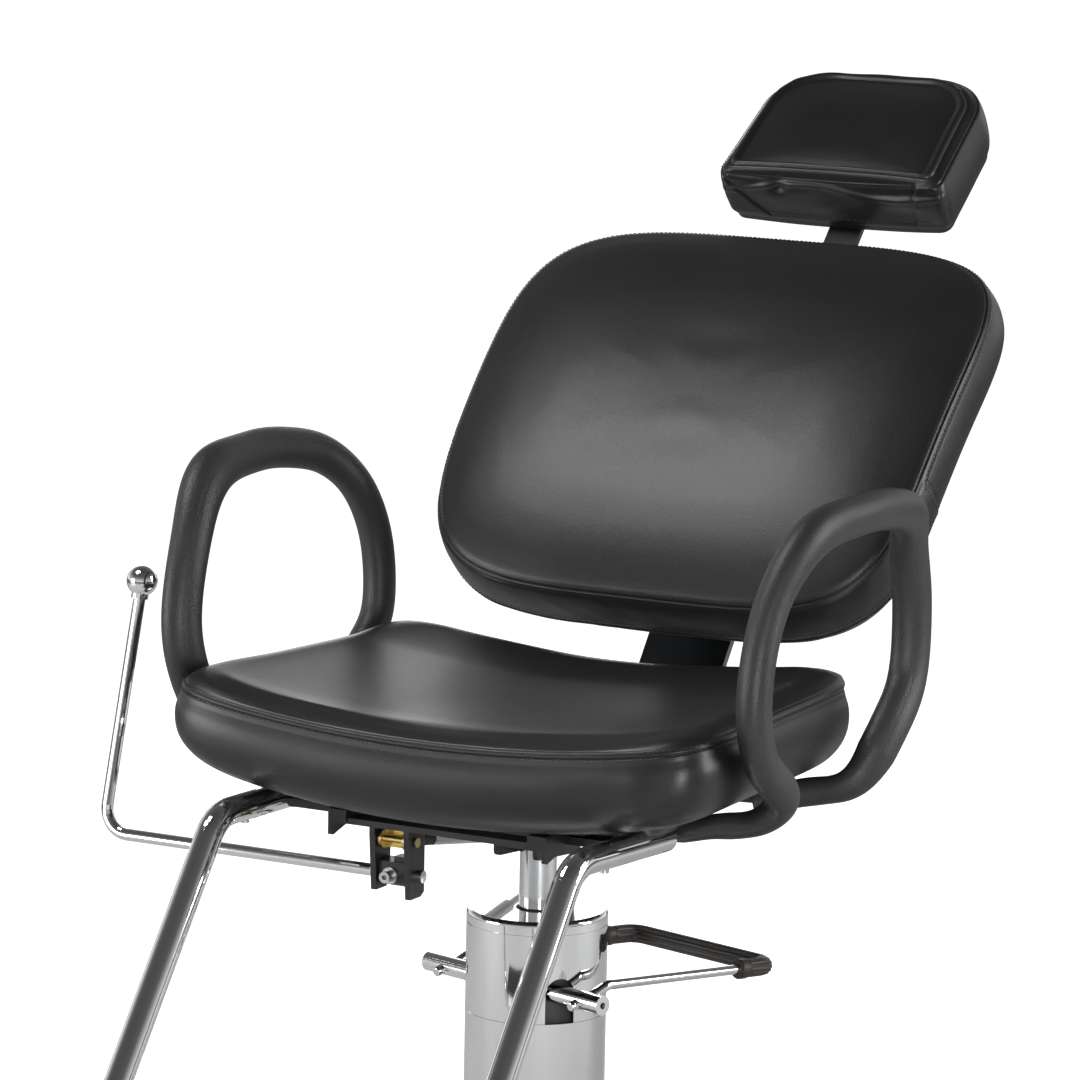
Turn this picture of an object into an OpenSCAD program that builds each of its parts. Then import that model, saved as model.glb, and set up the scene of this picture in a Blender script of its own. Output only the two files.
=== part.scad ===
// Hydraulic barber chair: round base, pump column, swivelling seat with
// loop arms and a footrest, reclining backrest and a sliding headrest.
// Origin: underside of the base on the column axis. +Z up, the sitter faces -Y.

/* [Base and column] */
// Radius of the round base
base_r = 280; // [260:1:300]
// Outer radius of the column covers
column_r = 70.5; // [69:0.5:74]
// Height of the joint between the lower and the upper cover
seam_z = 245; // [240:1:250]
// Height of the underside of the lid
lid_z = 334.7; // [333:0.1:337]
// Radius of the lifting ram
ram_r = 18.5; // [17:0.1:19]

/* [Pump pedal] */
// Radius of the rocker shaft
shaft_r = 9.75; // [9:0.05:10.2]
// Length of the rocker shaft
shaft_l = 244; // [236:1:250]
// Turn of the rocker shaft away from the side-to-side axis
shaft_turn = -16; // [-20:1:-12]
// Radius of the pedal rod
pedal_r = 5; // [4.5:0.1:5.4]
// Reach of the pedal from the shaft to its cross bar
pedal_reach = 272; // [262:1:280]

/* [Seat] */
// Half width of the seat cushion at its middle
seat_hw = 282; // [272:1:286]
// Height of the seat's top seam at the middle of the front
seat_seam_z = 554; // [550:1:558]
// Height of the cushion's side panel
boxing_h = 84; // [80:1:86]
// Radius of the arm loops' section
arm_r = 20; // [18:0.5:21]

/* [Footrest] */
// Radius of the footrest tube
foot_tube_r = 13.5; // [12.5:0.1:14]
// Half the distance between the footrest's legs at the floor end
foot_hw = 196; // [192:1:204]

/* [Back] */
// Lean of the backrest from upright
back_lean = 43.5; // [42:0.5:45]
// Half width of the backrest
back_hw = 275; // [266:1:279]
// Half height of the backrest
back_hh = 241; // [236:1:244]
// Half width of the headrest pad
head_hw = 134; // [126:1:138]

/* [Lever] */
// Radius of the recline lever rod
lever_r = 6.25; // [6:0.05:6.5]
// Radius of the ball knob
knob_r = 15.75; // [14:0.25:17]

/* [Hidden] */
$fn = 64;

// Running clearances and the gap between pieces that only pass each other
run = 0.05;
gap = 0.3;

// Base
mat_t = 4;
base_t = 9;
foot_bolt_r = 86;

// Column
cover_wall = 1.5;
cover_ir = column_r - cover_wall;
cover_foot_z = 38;
window_w = 30;
window_h = 46;
ram_top_z = 428;
ram_foot_z = 104;

// Rocker shaft: its axis passes in front of the ram
shaft_off = 30.6;
shaft_z = seam_z + 30;
shaft_mid = [shaft_off * sin(shaft_turn), -shaft_off * cos(shaft_turn), shaft_z];
pedal_hw = 94;
pedal_kink = 24;
pedal_drop = 8.5;
plunger_y = -18;
plunger_r = 5;

// Seat
board_z = 472;
rail_top_z = board_z - 0.5;
rail_h = 13.5;
rail_x = 110;
rail_w = 20;
dish = 34;
seat_mid_y = -28;
seat_hd = 220;

// Recline hinge, the lock's line and the lever's axis
hinge_y = 262;
hinge_z = 488;
lock_x = -103.5;
lock_pin_y = -105;
lock_pin_z = 423;
lock_tilt = 9.3;
crank_l = 123.5;
crank_y = hinge_y - crank_l * sin(lock_tilt);
crank_z = hinge_z - crank_l * cos(lock_tilt);
lever_y = -98;
lever_z = 387.6;
lever_bend_x = -450;
lever_bend_r = 26;
lever_top = [-430, -63, 631];
lever_start = [-75, lever_y, lever_z];
lever_corner = [lever_bend_x, lever_y, lever_z];
plate_t = 6;

// Back: local x across, y to the rear, z up along the lean
back_mid = [0, 338, 816];
bar_y = 145;
bar_t = 8;

// ---- helpers --------------------------------------------------------------

function unit(v) = v / norm(v);

// A straight round bar from p to q
module bar(p, q, r) {
    d = q - p;
    translate(p)
        rotate([0, acos(d[2] / norm(d)), atan2(d[1], d[0])])
            cylinder(h = norm(d), r = r);
}

// A bend of radius bend_r around the corner b of the path a-b-c
module elbow(a, b, c, bend_r, r) {
    d1 = unit(b - a);
    d2 = unit(c - b);
    turn = acos(d1 * d2);
    centre = b + unit(d2 - d1) * bend_r / cos(turn / 2);
    start = b - d1 * bend_r * tan(turn / 2);
    ex = unit(start - centre);
    ez = cross(ex, d1);
    multmatrix([[ex[0], d1[0], ez[0], centre[0]],
                [ex[1], d1[1], ez[1], centre[1]],
                [ex[2], d1[2], ez[2], centre[2]],
                [0, 0, 0, 1]])
        rotate_extrude(angle = turn)
            translate([bend_r, 0])
                circle(r);
}

function corner_cut(p, i, bend_r) =
    (i == 0 || i == len(p) - 1) ? 0 :
    bend_r * tan(acos(unit(p[i] - p[i - 1]) * unit(p[i + 1] - p[i])) / 2);

// A round rod that follows the points p with one bend radius at its corners
module bent_rod(p, bend_r, r) {
    for (i = [0 : len(p) - 2]) {
        d = unit(p[i + 1] - p[i]);
        bar(p[i] + d * corner_cut(p, i, bend_r), p[i + 1] - d * corner_cut(p, i + 1, bend_r), r);
    }
    for (i = [1 : len(p) - 2])
        elbow(p[i - 1], p[i], p[i + 1], bend_r, r);
}

// The points p with each corner turned into an arc of radius bend_r
function arc_at(a, b, c, bend_r, steps) = let (
    d1 = unit(b - a),
    d2 = unit(c - b),
    turn = acos(d1 * d2),
    centre = b + unit(d2 - d1) * bend_r / cos(turn / 2),
    ex = unit(b - d1 * bend_r * tan(turn / 2) - centre))
    [for (k = [0 : steps])
        centre + bend_r * (cos(turn * k / steps) * ex + sin(turn * k / steps) * d1)];
function rounded(p, bend_r, steps) = concat([p[0]],
    [for (i = [1 : len(p) - 2]) each arc_at(p[i - 1], p[i], p[i + 1], bend_r, steps)],
    [p[len(p) - 1]]);

// Catmull-Rom spline through p, steps points to each span
function spline_at(a, b, c, d, t) =
    0.5 * (2 * b + (c - a) * t + (2 * a - 5 * b + 4 * c - d) * t * t
        + (3 * b - 3 * c + d - a) * t * t * t);
function spline(p, steps) = concat([for (i = [0 : len(p) - 2])
    for (k = [0 : steps - 1])
        spline_at(p[max(i - 1, 0)], p[i], p[i + 1], p[min(i + 2, len(p) - 1)], k / steps)],
    [p[len(p) - 1]]);

function heading(p, i) = unit(p[min(i + 1, len(p) - 1)] - p[max(i - 1, 0)]);
function square_to(v, t) = unit(v - t * (v * t));

// A soft tube of radius r swept along the points p, sides faces round
module swept(p, r, sides, swell = []) {
    n = len(p);
    up = [for (i = 0, u = square_to([1, 0.1, 0], heading(p, 0)); i < n;
        i = i + 1, u = i < n ? square_to(u, heading(p, i)) : u) u];
    pts = [for (i = [0 : n - 1]) for (j = [0 : sides - 1])
        p[i] + r * (len(swell) == n ? swell[i] : 1) * (cos(360 * j / sides) * up[i]
            + sin(360 * j / sides) * cross(heading(p, i), up[i]))];
    skin = [for (i = [0 : n - 2]) for (j = [0 : sides - 1])
        let (a = i * sides + j, b = i * sides + (j + 1) % sides)
            each [[a, a + sides, b + sides], [a, b + sides, b]]];
    polyhedron(pts, concat(skin, [[for (j = [0 : sides - 1]) j]],
        [[for (j = [sides - 1 : -1 : 0]) (n - 1) * sides + j]]));
}

// A closed form through rings of equal length, each end drawn to its middle point
module loft(rings, low, high) {
    m = len(rings[0]);
    n = len(rings);
    pts = concat([low], [for (g = rings) each g], [high]);
    sides = [for (i = [0 : n - 2]) for (j = [0 : m - 1])
        let (a = 1 + i * m + j, b = 1 + i * m + (j + 1) % m)
            each [[a, a + m, b + m], [a, b + m, b]]];
    caps = [for (j = [0 : m - 1]) each [
        [0, 1 + j, 1 + (j + 1) % m],
        [1 + n * m, 1 + (n - 1) * m + (j + 1) % m, 1 + (n - 1) * m + j]]];
    polyhedron(pts, concat(sides, caps));
}

// Unit superellipse point at angle t
function pow_sign(v, e) = sign(v) * pow(abs(v), e);
function squircle(t, n) = [pow_sign(cos(t), 2 / n), pow_sign(sin(t), 2 / n)];

module hex_bolt(across, head, r, length) {
    cylinder(h = head, r = across / sqrt(3), $fn = 6);
    translate([0, 0, -length])
        cylinder(h = length, r = r);
}

module socket_screw(head_r, head_h, r, length) {
    difference() {
        cylinder(h = head_h, r = head_r);
        translate([0, 0, head_h / 2])
            cylinder(h = head_h, r = head_r * 0.5, $fn = 6);
    }
    translate([0, 0, -length])
        cylinder(h = length, r = r);
}

// ---- base and column ------------------------------------------------------

module floor_mat() {
    color("dimgray")
        cylinder(h = mat_t, r = base_r - 4, $fn = 128);
}

module base_plate() {
    color("gray")
        difference() {
            translate([0, 0, mat_t])
                cylinder(h = base_t, r = base_r - 6, $fn = 128);
            for (k = [0 : 5])
                rotate([0, 0, 60 * k])
                    translate([foot_bolt_r, 0, mat_t])
                        cylinder(h = base_t, r = 5.2);
        }
}

// Chromed dome pressed over the base plate, open in the middle for the column
module base_cover() {
    neck = column_r + 3;
    color("silver")
        rotate_extrude($fn = 128)
            polygon([[base_r, 4], [base_r, 9], [base_r - 5, 15], [base_r - 40, 21],
                [neck + 55, 33], [neck + 20, 38], [neck, 47], [neck, 50], [neck - 1.6, 50],
                [neck - 1.6, 46], [neck + 18, 36], [neck + 54, 31], [base_r - 41, 19],
                [base_r - 5.7, 13.2], [base_r - 5.7, 4]]);
}

module base_bolts() {
    color("dimgray")
        for (k = [0 : 5])
            rotate([0, 0, 60 * k])
                translate([foot_bolt_r, 0, 26])
                    hex_bolt(15, 6, 5, 20);
}

// Oil reservoir: a closed drum with a bolted foot flange
module pump_body() {
    color("dimgray")
        difference() {
            union() {
                translate([0, 0, mat_t + base_t])
                    cylinder(h = 26 - mat_t - base_t, r = 97);
                translate([0, 0, mat_t + base_t])
                    cylinder(h = seam_z - 10 - mat_t - base_t, r = 60);
            }
            translate([0, 0, 22])
                cylinder(h = seam_z, r = 56);
            for (k = [0 : 5])
                rotate([0, 0, 60 * k])
                    translate([foot_bolt_r, 0, 10])
                        cylinder(h = 20, r = 5.2);
        }
}

// Inner cylinder that the ram's foot runs in
module cylinder_tube() {
    color("slategray")
        translate([0, 0, 22])
            difference() {
                cylinder(h = seam_z - 32, r = 27);
                translate([0, 0, -1])
                    cylinder(h = seam_z, r = 22 + run);
            }
}

module shaft_place() {
    translate(shaft_mid)
        rotate([0, 0, shaft_turn])
            children();
}

// Cast head: guides the ram, carries the rocker shaft and the pump plunger
module pump_head() {
    head_z = seam_z - 10;
    color("dimgray")
        difference() {
            translate([0, 0, head_z])
                cylinder(h = lid_z - head_z - 10, r = 58);
            translate([0, 0, head_z - 1])
                cylinder(h = 100, r = ram_r + 0.5);
            translate([0, 0, lid_z - 36])
                cylinder(h = 40, r = 24);
            shaft_place() {
                rotate([0, 90, 0])
                    cylinder(h = 160, r = shaft_r + run, center = true);
                translate([-14, -70, -16])
                    cube([28, 85.5, 38]);
                translate([0, plunger_y, -41])
                    cylinder(h = 40, r = plunger_r + run);
            }
        }
}

module ram_bush() {
    color("darkgoldenrod")
        translate([0, 0, lid_z - 36])
            difference() {
                cylinder(h = 26, r = 24);
                translate([0, 0, -1])
                    cylinder(h = 30, r = ram_r + run);
            }
}

module lower_cover() {
    color("silver")
        translate([0, 0, cover_foot_z])
            difference() {
                cylinder(h = seam_z - cover_foot_z, r = column_r, $fn = 128);
                translate([0, 0, -1])
                    cylinder(h = 400, r = cover_ir, $fn = 128);
            }
}

// Arched opening at the foot of the upper cover, one for each end of the shaft
module window() {
    rotate([90, 0, 90])
        linear_extrude(height = 60)
            union() {
                translate([-window_w / 2, -1])
                    square([window_w, window_h - window_w / 2 + 1]);
                translate([0, window_h - window_w / 2])
                    circle(window_w / 2);
            }
}

module upper_cover() {
    color("silver")
        difference() {
            translate([0, 0, seam_z + 0.4])
                cylinder(h = lid_z - seam_z - 1, r = column_r, $fn = 128);
            translate([0, 0, seam_z - 1])
                cylinder(h = 200, r = cover_ir, $fn = 128);
            for (turn = [-41.5, 189.5])
                rotate([0, 0, turn])
                    translate([40, 0, seam_z])
                        window();
        }
}

// Lid with a rolled edge and a spigot that centres it in the cover
module cover_lid() {
    roll = 5;
    color("silver")
        rotate_extrude($fn = 128)
            difference() {
                union() {
                    translate([0, lid_z])
                        square([column_r - roll, 13]);
                    translate([0, lid_z])
                        square([column_r, 13 - roll]);
                    translate([column_r - roll, lid_z + 13 - roll])
                        circle(roll);
                    translate([0, lid_z - 8])
                        square([cover_ir - 0.2, 9]);
                }
                translate([0, lid_z - 9])
                    square([column_r - 6, 10.5]);
                translate([-1, lid_z - 10])
                    square([ram_r + 4, 30]);
            }
}

module wiper_seal() {
    color("black")
        rotate_extrude($fn = 128)
            polygon([[ram_r + run, lid_z + 1.5], [ram_r + 3, lid_z + 1.5],
                [ram_r + 3, lid_z + 13.4], [ram_r + 1.4, lid_z + 14.4], [ram_r + run, lid_z + 13.6]]);
}

// ---- pump pedal -----------------------------------------------------------

// Path of the U-shaped pedal rod in the shaft's frame: x along the shaft
function pedal_path() = let (
    near_z = 10,
    far_z = near_z - pedal_reach * tan(pedal_drop) + 22)
    [[-pedal_hw, -shaft_r - 6, -3.4], [-pedal_hw, 12, 2], [-pedal_hw, 12 + pedal_kink, near_z],
     [-pedal_hw, pedal_reach, far_z], [pedal_hw, pedal_reach, far_z],
     [pedal_hw, 12 + pedal_kink, near_z], [pedal_hw, 12, 2], [pedal_hw, -shaft_r - 6, -3.4]];

module rocker_shaft() {
    first = pedal_path()[0];
    next = pedal_path()[1];
    color("silver")
        shaft_place()
            difference() {
                rotate([0, 90, 0])
                    cylinder(h = shaft_l, r = shaft_r, center = true);
                for (s = [-1, 1])
                    translate([s * pedal_hw + pedal_hw, 0, 0])
                        bar(first - 6 * unit(next - first), next + 6 * unit(next - first),
                            pedal_r + run);
                for (s = [0, 1])
                    mirror([s, 0, 0])
                        translate([shaft_l / 2 - 14, 0, 0])
                            rotate([0, 90, 0])
                                cylinder(h = 20, r = 3.5);
            }
}

// Hexagon-socket grub screws in the shaft's end faces, which grip the pedal rod
module shaft_screws() {
    color("dimgray")
        shaft_place()
            for (s = [0, 1])
                mirror([s, 0, 0])
                    translate([shaft_l / 2 - 13, 0, 0])
                        rotate([0, 90, 0])
                            difference() {
                                cylinder(h = 11.5, r = 3.4);
                                translate([0, 0, 7])
                                    cylinder(h = 6, r = 1.9, $fn = 6);
                            }
}

module rocker_cam() {
    color("gray")
        shaft_place()
            rotate([90, 0, 90])
                translate([0, 0, -8])
                    difference() {
                        linear_extrude(height = 16)
                            union() {
                                circle(11.6);
                                translate([plunger_y, -3])
                                    square([-plunger_y, 12]);
                                translate([plunger_y, 3])
                                    circle(6);
                            }
                        translate([0, 0, -1])
                            cylinder(h = 18, r = shaft_r);
                    }
}

module pump_plunger() {
    color("lightgray")
        shaft_place()
            translate([0, plunger_y, -38])
                cylinder(h = 33, r = plunger_r);
}

module pedal_rod() {
    color("silver")
        shaft_place()
            swept(rounded(pedal_path(), 12, 5), pedal_r, 16);
}

// Ribbed rubber sleeve over the cross bar and both corners, with end collars
module pedal_sleeve() {
    p = pedal_path();
    arm = 46;
    back = unit(p[2] - p[3]);
    path = [p[3] + arm * back, p[3], p[4], p[4] + arm * back];
    color("black")
        shaft_place()
            difference() {
                swept(rounded(path, 14, 6), 9.5, 16);
                swept(rounded(p, 12, 5), pedal_r + 0.02, 16);
            }
}

// ---- ram ------------------------------------------------------------------

module ram() {
    color("silver")
        rotate_extrude()
            polygon([[0, ram_foot_z], [ram_r - 3, ram_foot_z], [ram_r - 3, ram_foot_z + 12],
                [ram_r, ram_foot_z + 12], [ram_r, ram_top_z - 9], [ram_r - 1.2, ram_top_z - 9],
                [ram_r - 1.2, ram_top_z - 6], [ram_r, ram_top_z - 6], [ram_r, ram_top_z + 18],
                [ram_r - 2, ram_top_z + 20], [0, ram_top_z + 20]]);
}

module ram_seal() {
    color("black")
        translate([0, 0, ram_foot_z])
            difference() {
                cylinder(h = 12, r = 22);
                translate([0, 0, -1])
                    cylinder(h = 14, r = ram_r - 3);
            }
}

// ---- seat frame -----------------------------------------------------------

// Black swivel socket over the ram, with a deep cheek on each side
module seat_socket() {
    top = board_z - 20;
    color("black")
        difference() {
            union() {
                translate([0, 0, 414])
                    cylinder(h = top - 414, r = 24.5);
                for (x = [-24.5, 19.5])
                    translate([x, 0, 0])
                        rotate([90, 0, 90])
                            linear_extrude(height = 5)
                                hull() {
                                    translate([-48, 416])
                                        square([96, top - 416]);
                                    translate([-42, 412])
                                        circle(6);
                                    translate([34, 412])
                                        circle(12);
                                }
                translate([-24.5, -48, 416])
                    cube([49, 5, top - 416]);
                translate([-24.5, 43, 416])
                    cube([49, 5, top - 416]);
            }
            translate([0, 0, 300])
                cylinder(h = ram_top_z + 20.3 - 300, r = ram_r + run);
        }
}

module mount_plate() {
    color("black")
        difference() {
            translate([-130, -78, board_z - 20])
                cube([260, 168, 6]);
            mount_bolt_places()
                cylinder(h = 40, r = 4.3, center = true);
        }
}

module mount_bolt_places() {
    for (x = [-rail_x, rail_x])
        for (y = [-60, 60])
            translate([x, y, board_z - 20])
                children();
}

module mount_bolts() {
    color("dimgray")
        mount_bolt_places()
            mirror([0, 0, 1])
                hex_bolt(13, 5, 4.1, 18);
}

// Two steel rails, welded outriggers for the footrest and tabs at the front
module seat_rails() {
    low = rail_top_z - rail_h;
    color("black")
        difference() {
            union() {
                for (s = [-1, 1]) {
                    translate([s * rail_x - rail_w / 2, -208, low])
                        cube([rail_w, 400, rail_h]);
                    translate([s * (rail_x + rail_w / 2 - 2) - 2, 0, low + 1])
                        rotate([90, 0, 90])
                            linear_extrude(height = 4)
                                polygon([[-208, 0], [-208, -13], [-204, -14], [-150, 0]]);
                    translate([s * 154 - 35, -168, low])
                        cube([70, 40, 8]);
                }
                translate([-rail_x, -206, low])
                    cube([2 * rail_x, 24, 6]);
                translate([-rail_x, 166, low])
                    cube([2 * rail_x, 24, 6]);
            }
            mount_bolt_places()
                cylinder(h = 60, r = 4.3, center = true);
            bent_rod(foot_path(), 45, foot_tube_r + 0.01);
        }
}

module seat_board() {
    color("burlywood")
        difference() {
            translate([-150, -185, board_z + 0.5])
                cube([300, 355, 11.5]);
            mount_bolt_places()
                cylinder(h = 60, r = 4.3, center = true);
        }
}

// Outline of the seat: slightly wider at the front, inset all round by inset
function seat_edge(t, inset) = let (
    s = squircle(t, 9),
    y = seat_mid_y + (seat_hd - inset) * s[1])
    [(seat_hw - 0.08 * (y - seat_mid_y) - inset) * s[0], y];
// The cushion is dished across: high at both sides
function seat_rise(x) = dish * pow(x / seat_hw, 2);
function seat_ring(inset, z, lift) = [for (k = [0 : 47])
    let (e = seat_edge(360 * k / 48, inset)) [e[0], e[1], z + lift * seat_rise(e[0])]];

module seat_cushion() {
    low = seat_seam_z - boxing_h;
    rings = [seat_ring(60, low, 0.9), seat_ring(14, low + 3, 0.95), seat_ring(1, low + 16, 1),
        seat_ring(0, low + 40, 1), seat_ring(3, seat_seam_z, 0.75), seat_ring(16, seat_seam_z + 5, 0.75),
        seat_ring(60, seat_seam_z + 7, 0.8), seat_ring(130, seat_seam_z + 4, 0.9)];
    color("#1a1a1c")
        difference() {
            loft(rings, [0, seat_mid_y, low], [0, seat_mid_y, seat_seam_z + 3]);
            translate([-150 - gap, -185 - gap, board_z - 40])
                cube([300 + 2 * gap, 355 + 2 * gap, 40 + 12 + gap]);
        }
}

// Centre line of the left arm loop, from its front foot to its rear foot
function arm_path() = spline([
    [190, -95, 464], [236, -95, 476], [286, -87, 484], [314, -92, 514], [313, -143, 556],
    [316, -166, 624], [320, -143, 706], [333, -89, 764], [341, 6, 775], [339, 73, 771],
    [331, 134, 756], [314, 172, 720], [307, 200, 659], [305, 200, 584], [306, 159, 541],
    [288, 120, 487], [242, 112, 474], [190, 92, 462]], 3);

// The loop swells at its front top corner and narrows toward its two feet
function arm_swell(p) = let (d = norm(p - [332, -86, 750]))
    (1 + 0.15 * exp(-d * d / 2100)) * (p[2] > 515 ? 1 : 0.62 + 0.38 * (p[2] - 464) / 51);

module arm_shape() {
    color("#202022")
        difference() {
            swept(arm_path(), arm_r, 16, [for (p = arm_path()) arm_swell(p)]);
            arm_stub_bars(0.02);
        }
}

module arm_left() {
    arm_shape();
}

module arm_right() {
    mirror([1, 0, 0])
        arm_shape();
}

module arm_stub_bars(extra) {
    bar([rail_x, -100, 464], [210, -95, 468], 6 + extra);
    bar([rail_x, 84, 464], [210, 99, 465], 6 + extra);
}

// Steel cores of the arms where they reach the seat rails
module arm_stubs() {
    color("black")
        for (s = [0, 1])
            mirror([s, 0, 0])
                difference() {
                    arm_stub_bars(0);
                    translate([0, -200, 440])
                        cube([rail_x + rail_w / 2, 400, 60]);
                }
}

// Small screws under the footrest tubes and the outriggers
module frame_screws() {
    color("silver")
        for (s = [-1, 1])
            for (y = [-235, -148])
                translate([s * 198, y, 457])
                    mirror([0, 0, 1])
                        cylinder(h = 4, r = 4.5);
}

// ---- footrest -------------------------------------------------------------

function foot_path() = [[201, -118, 465], [195, -292, 471], [foot_hw, -532, 150],
    [-foot_hw, -532, 150], [-195, -292, 471], [-201, -118, 465]];

module footrest_frame() {
    color("silver")
        difference() {
            bent_rod(foot_path(), 45, foot_tube_r);
            for (s = [-1, 1])
                for (y = [-235, -148])
                    translate([s * 198, y, 440])
                        cylinder(h = 17.02, r = 4.6);
        }
}

// Foot plate folded down at front and back, standing on the cross tube
module foot_plate() {
    top = 150 + foot_tube_r + 4;
    half = foot_hw - 48;
    color("silver")
        difference() {
            translate([-half, 0, 0])
                rotate([90, 0, 90])
                    linear_extrude(height = 2 * half)
                        polygon([[-600, top - 16], [-600, top - 3], [-597, top], [-487, top],
                            [-484, top - 3], [-484, top - 14], [-487, top - 14], [-487, top - 4],
                            [-597, top - 4], [-597, top - 16]]);
            for (x = [-120, 120])
                translate([x, -532, 0])
                    cylinder(h = 400, r = 4.2);
        }
}

module foot_tread() {
    top = 150 + foot_tube_r + 4;
    half = foot_hw - 55;
    color("black")
        for (k = [0 : 5])
            translate([-half, -593 + 17 * k, top])
                rotate([90, 0, 90])
                    linear_extrude(height = 2 * half)
                        polygon([[0, 0], [1.5, 3], [10.5, 3], [12, 0]]);
}

// ---- recline lock ---------------------------------------------------------

// Two cheeks that hold the lever's shaft and the lock's fork, under the rail
module lock_bracket() {
    color("black")
        difference() {
            union() {
                for (x = [-126, -87])
                    translate([x, 0, 0])
                        rotate([90, 0, 90])
                            linear_extrude(height = plate_t)
                                polygon([[-113, x > -100 ? 366 : 372], [-93, x > -100 ? 366 : 372],
                                    [-86, x > -100 ? 370 : 378], [-86, 425], [-80, 452],
                                    [-118, 452], [-118, 430]]);
                translate([-126, -118, 452])
                    cube([45, 38, 6]);
            }
            translate([-140, lever_y, lever_z])
                rotate([0, 90, 0])
                    cylinder(h = 70, r = lever_r + run);
            translate([-140, lock_pin_y, lock_pin_z])
                rotate([0, 90, 0])
                    cylinder(h = 70, r = 3);
        }
}

module lock_pin() {
    color("goldenrod")
        translate([-128, lock_pin_y, lock_pin_z])
            rotate([0, 90, 0]) {
                cylinder(h = 49, r = 3);
                for (z = [-1, 48.5])
                    translate([0, 0, z])
                        cylinder(h = 1.5, r = 5);
            }
}

module lock_place() {
    translate([lock_x, lock_pin_y, lock_pin_z])
        rotate([-90 - lock_tilt, 0, 0])
            children();
}

// Zinc-plated fork of the lock: local z runs back along the lock
module lock_fork() {
    color("goldenrod")
        lock_place()
            difference() {
                union() {
                    for (x = [-15, 12])
                        translate([x, 0, 0])
                            rotate([0, 90, 0])
                                cylinder(h = 3, r = 9);
                    for (x = [-15, 12])
                        translate([x, -9, 0])
                            cube([3, 18, 16]);
                    translate([-15, -9, 16])
                        cube([30, 18, 4]);
                    translate([0, 0, 20])
                        cylinder(h = 10, r = 9, $fn = 6);
                    translate([0, 0, 30])
                        cylinder(h = 41, r = 3);
                }
                rotate([0, 90, 0])
                    cylinder(h = 60, r = 3, center = true);
            }
}

// Coil spring of the lock, drawn as its close-wound outer shape
module lock_coil() {
    pitch = 4;
    color("black")
        lock_place()
            for (k = [0 : 9])
                translate([0, 0, 32.4 + pitch * k])
                    rotate_extrude()
                        translate([5.4, 0])
                            circle(2.2);
}

module lock_tube() {
    color("silver")
        lock_place()
            translate([0, 0, 71])
                difference() {
                    cylinder(h = 165, r = 7);
                    translate([0, 0, 6])
                        cylinder(h = 180, r = 4 + run);
                }
}

// Lock rod with a slotted fork for the crank pin
module lock_rod() {
    reach = norm([crank_y - lock_pin_y, crank_z - lock_pin_z]);
    color("silver")
        lock_place() {
            translate([0, 0, 150])
                cylinder(h = reach - 42 - 150, r = 4);
            translate([-11, -8, reach - 42])
                cube([22, 16, 8]);
            for (x = [-11, 6])
                translate([x, 0, 0])
                    difference() {
                        translate([0, -20, reach - 38])
                            cube([5, 30, 48]);
                        translate([-1, 0, reach])
                            rotate([0, 90, 0])
                                cylinder(h = 7, r = 5);
                        translate([-1, -13, reach])
                            rotate([0, 90, 0])
                                cylinder(h = 7, r = 5);
                        translate([-1, -13, reach - 5])
                            cube([7, 13, 10]);
                    }
        }
}

// ---- recline lever --------------------------------------------------------

// Frame at the top of the lever's handle, z along the handle
module lever_place() {
    d = unit(lever_top - lever_corner);
    translate(lever_top)
        rotate([0, acos(d[2]), atan2(d[1], d[0])])
            children();
}

module lever_rod() {
    color("silver")
        swept(concat([lever_start], arc_at(lever_start, lever_corner, lever_top, lever_bend_r, 8),
            [lever_top]), lever_r, 24);
}

module ball_knob() {
    color("silver")
        lever_place()
            difference() {
                union() {
                    translate([0, 0, 12])
                        sphere(knob_r);
                    translate([0, 0, -6])
                        cylinder(h = 8, r = lever_r + 2.5);
                }
                translate([0, 0, -60])
                    cylinder(h = 60, r = lever_r);
            }
}

// Release cam clamped on the lever's shaft between the cheeks
module cam_block() {
    color("black")
        difference() {
            union() {
                translate([-119, lever_y, lever_z])
                    rotate([0, 90, 0])
                        cylinder(h = 31, r = 12);
                translate([-119, lever_y - 12, lever_z])
                    cube([31, 24, 14]);
                translate([-104, lever_y - 8, lever_z])
                    cube([16, 14, 19]);
            }
            translate([-130, lever_y, lever_z])
                rotate([0, 90, 0])
                    cylinder(h = 60, r = lever_r);
            translate([-106, lever_y - 30, lever_z])
                rotate([-90, 0, 0])
                    cylinder(h = 24, r = 3.1);
        }
}

// Socket screw and washer that lock the cam on the shaft
module cam_screw() {
    color("lightgray")
        translate([-106, lever_y - 12.05, lever_z])
            rotate([90, 0, 0]) {
                cylinder(h = 2, r = 8.5);
                translate([0, 0, 2])
                    socket_screw(5.8, 10, 3, 7.5);
            }
}

// ---- recline hinge and back frame ----------------------------------------

module hinge_plates() {
    boss = 18;
    color("black")
        for (s = [0, 1])
            mirror([s, 0, 0])
                translate([rail_x + rail_w / 2, 0, 0])
                    difference() {
                        rotate([90, 0, 90])
                            linear_extrude(height = plate_t)
                                union() {
                                    translate([110, 458])
                                        square([92, 13]);
                                    hull() {
                                        translate([198, 458])
                                            square([4, 13]);
                                        translate([hinge_y, hinge_z])
                                            circle(boss, $fn = 32);
                                        translate([hinge_y - 20, 462])
                                            circle(6, $fn = 32);
                                    }
                                }
                        translate([-1, hinge_y, hinge_z])
                            rotate([0, 90, 0])
                                cylinder(h = 10, r = 8);
                    }
}

module hinge_pin() {
    color("silver")
        translate([-(rail_x + rail_w / 2 + plate_t + 4), hinge_y, hinge_z])
            rotate([0, 90, 0])
                cylinder(h = 2 * (rail_x + rail_w / 2 + plate_t + 4), r = 8);
}

module hinge_tube() {
    color("black")
        translate([-119.5, hinge_y, hinge_z])
            rotate([0, 90, 0])
                difference() {
                    cylinder(h = 239, r = 14);
                    translate([0, 0, -1])
                        cylinder(h = 250, r = 8 + run);
                }
}

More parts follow.
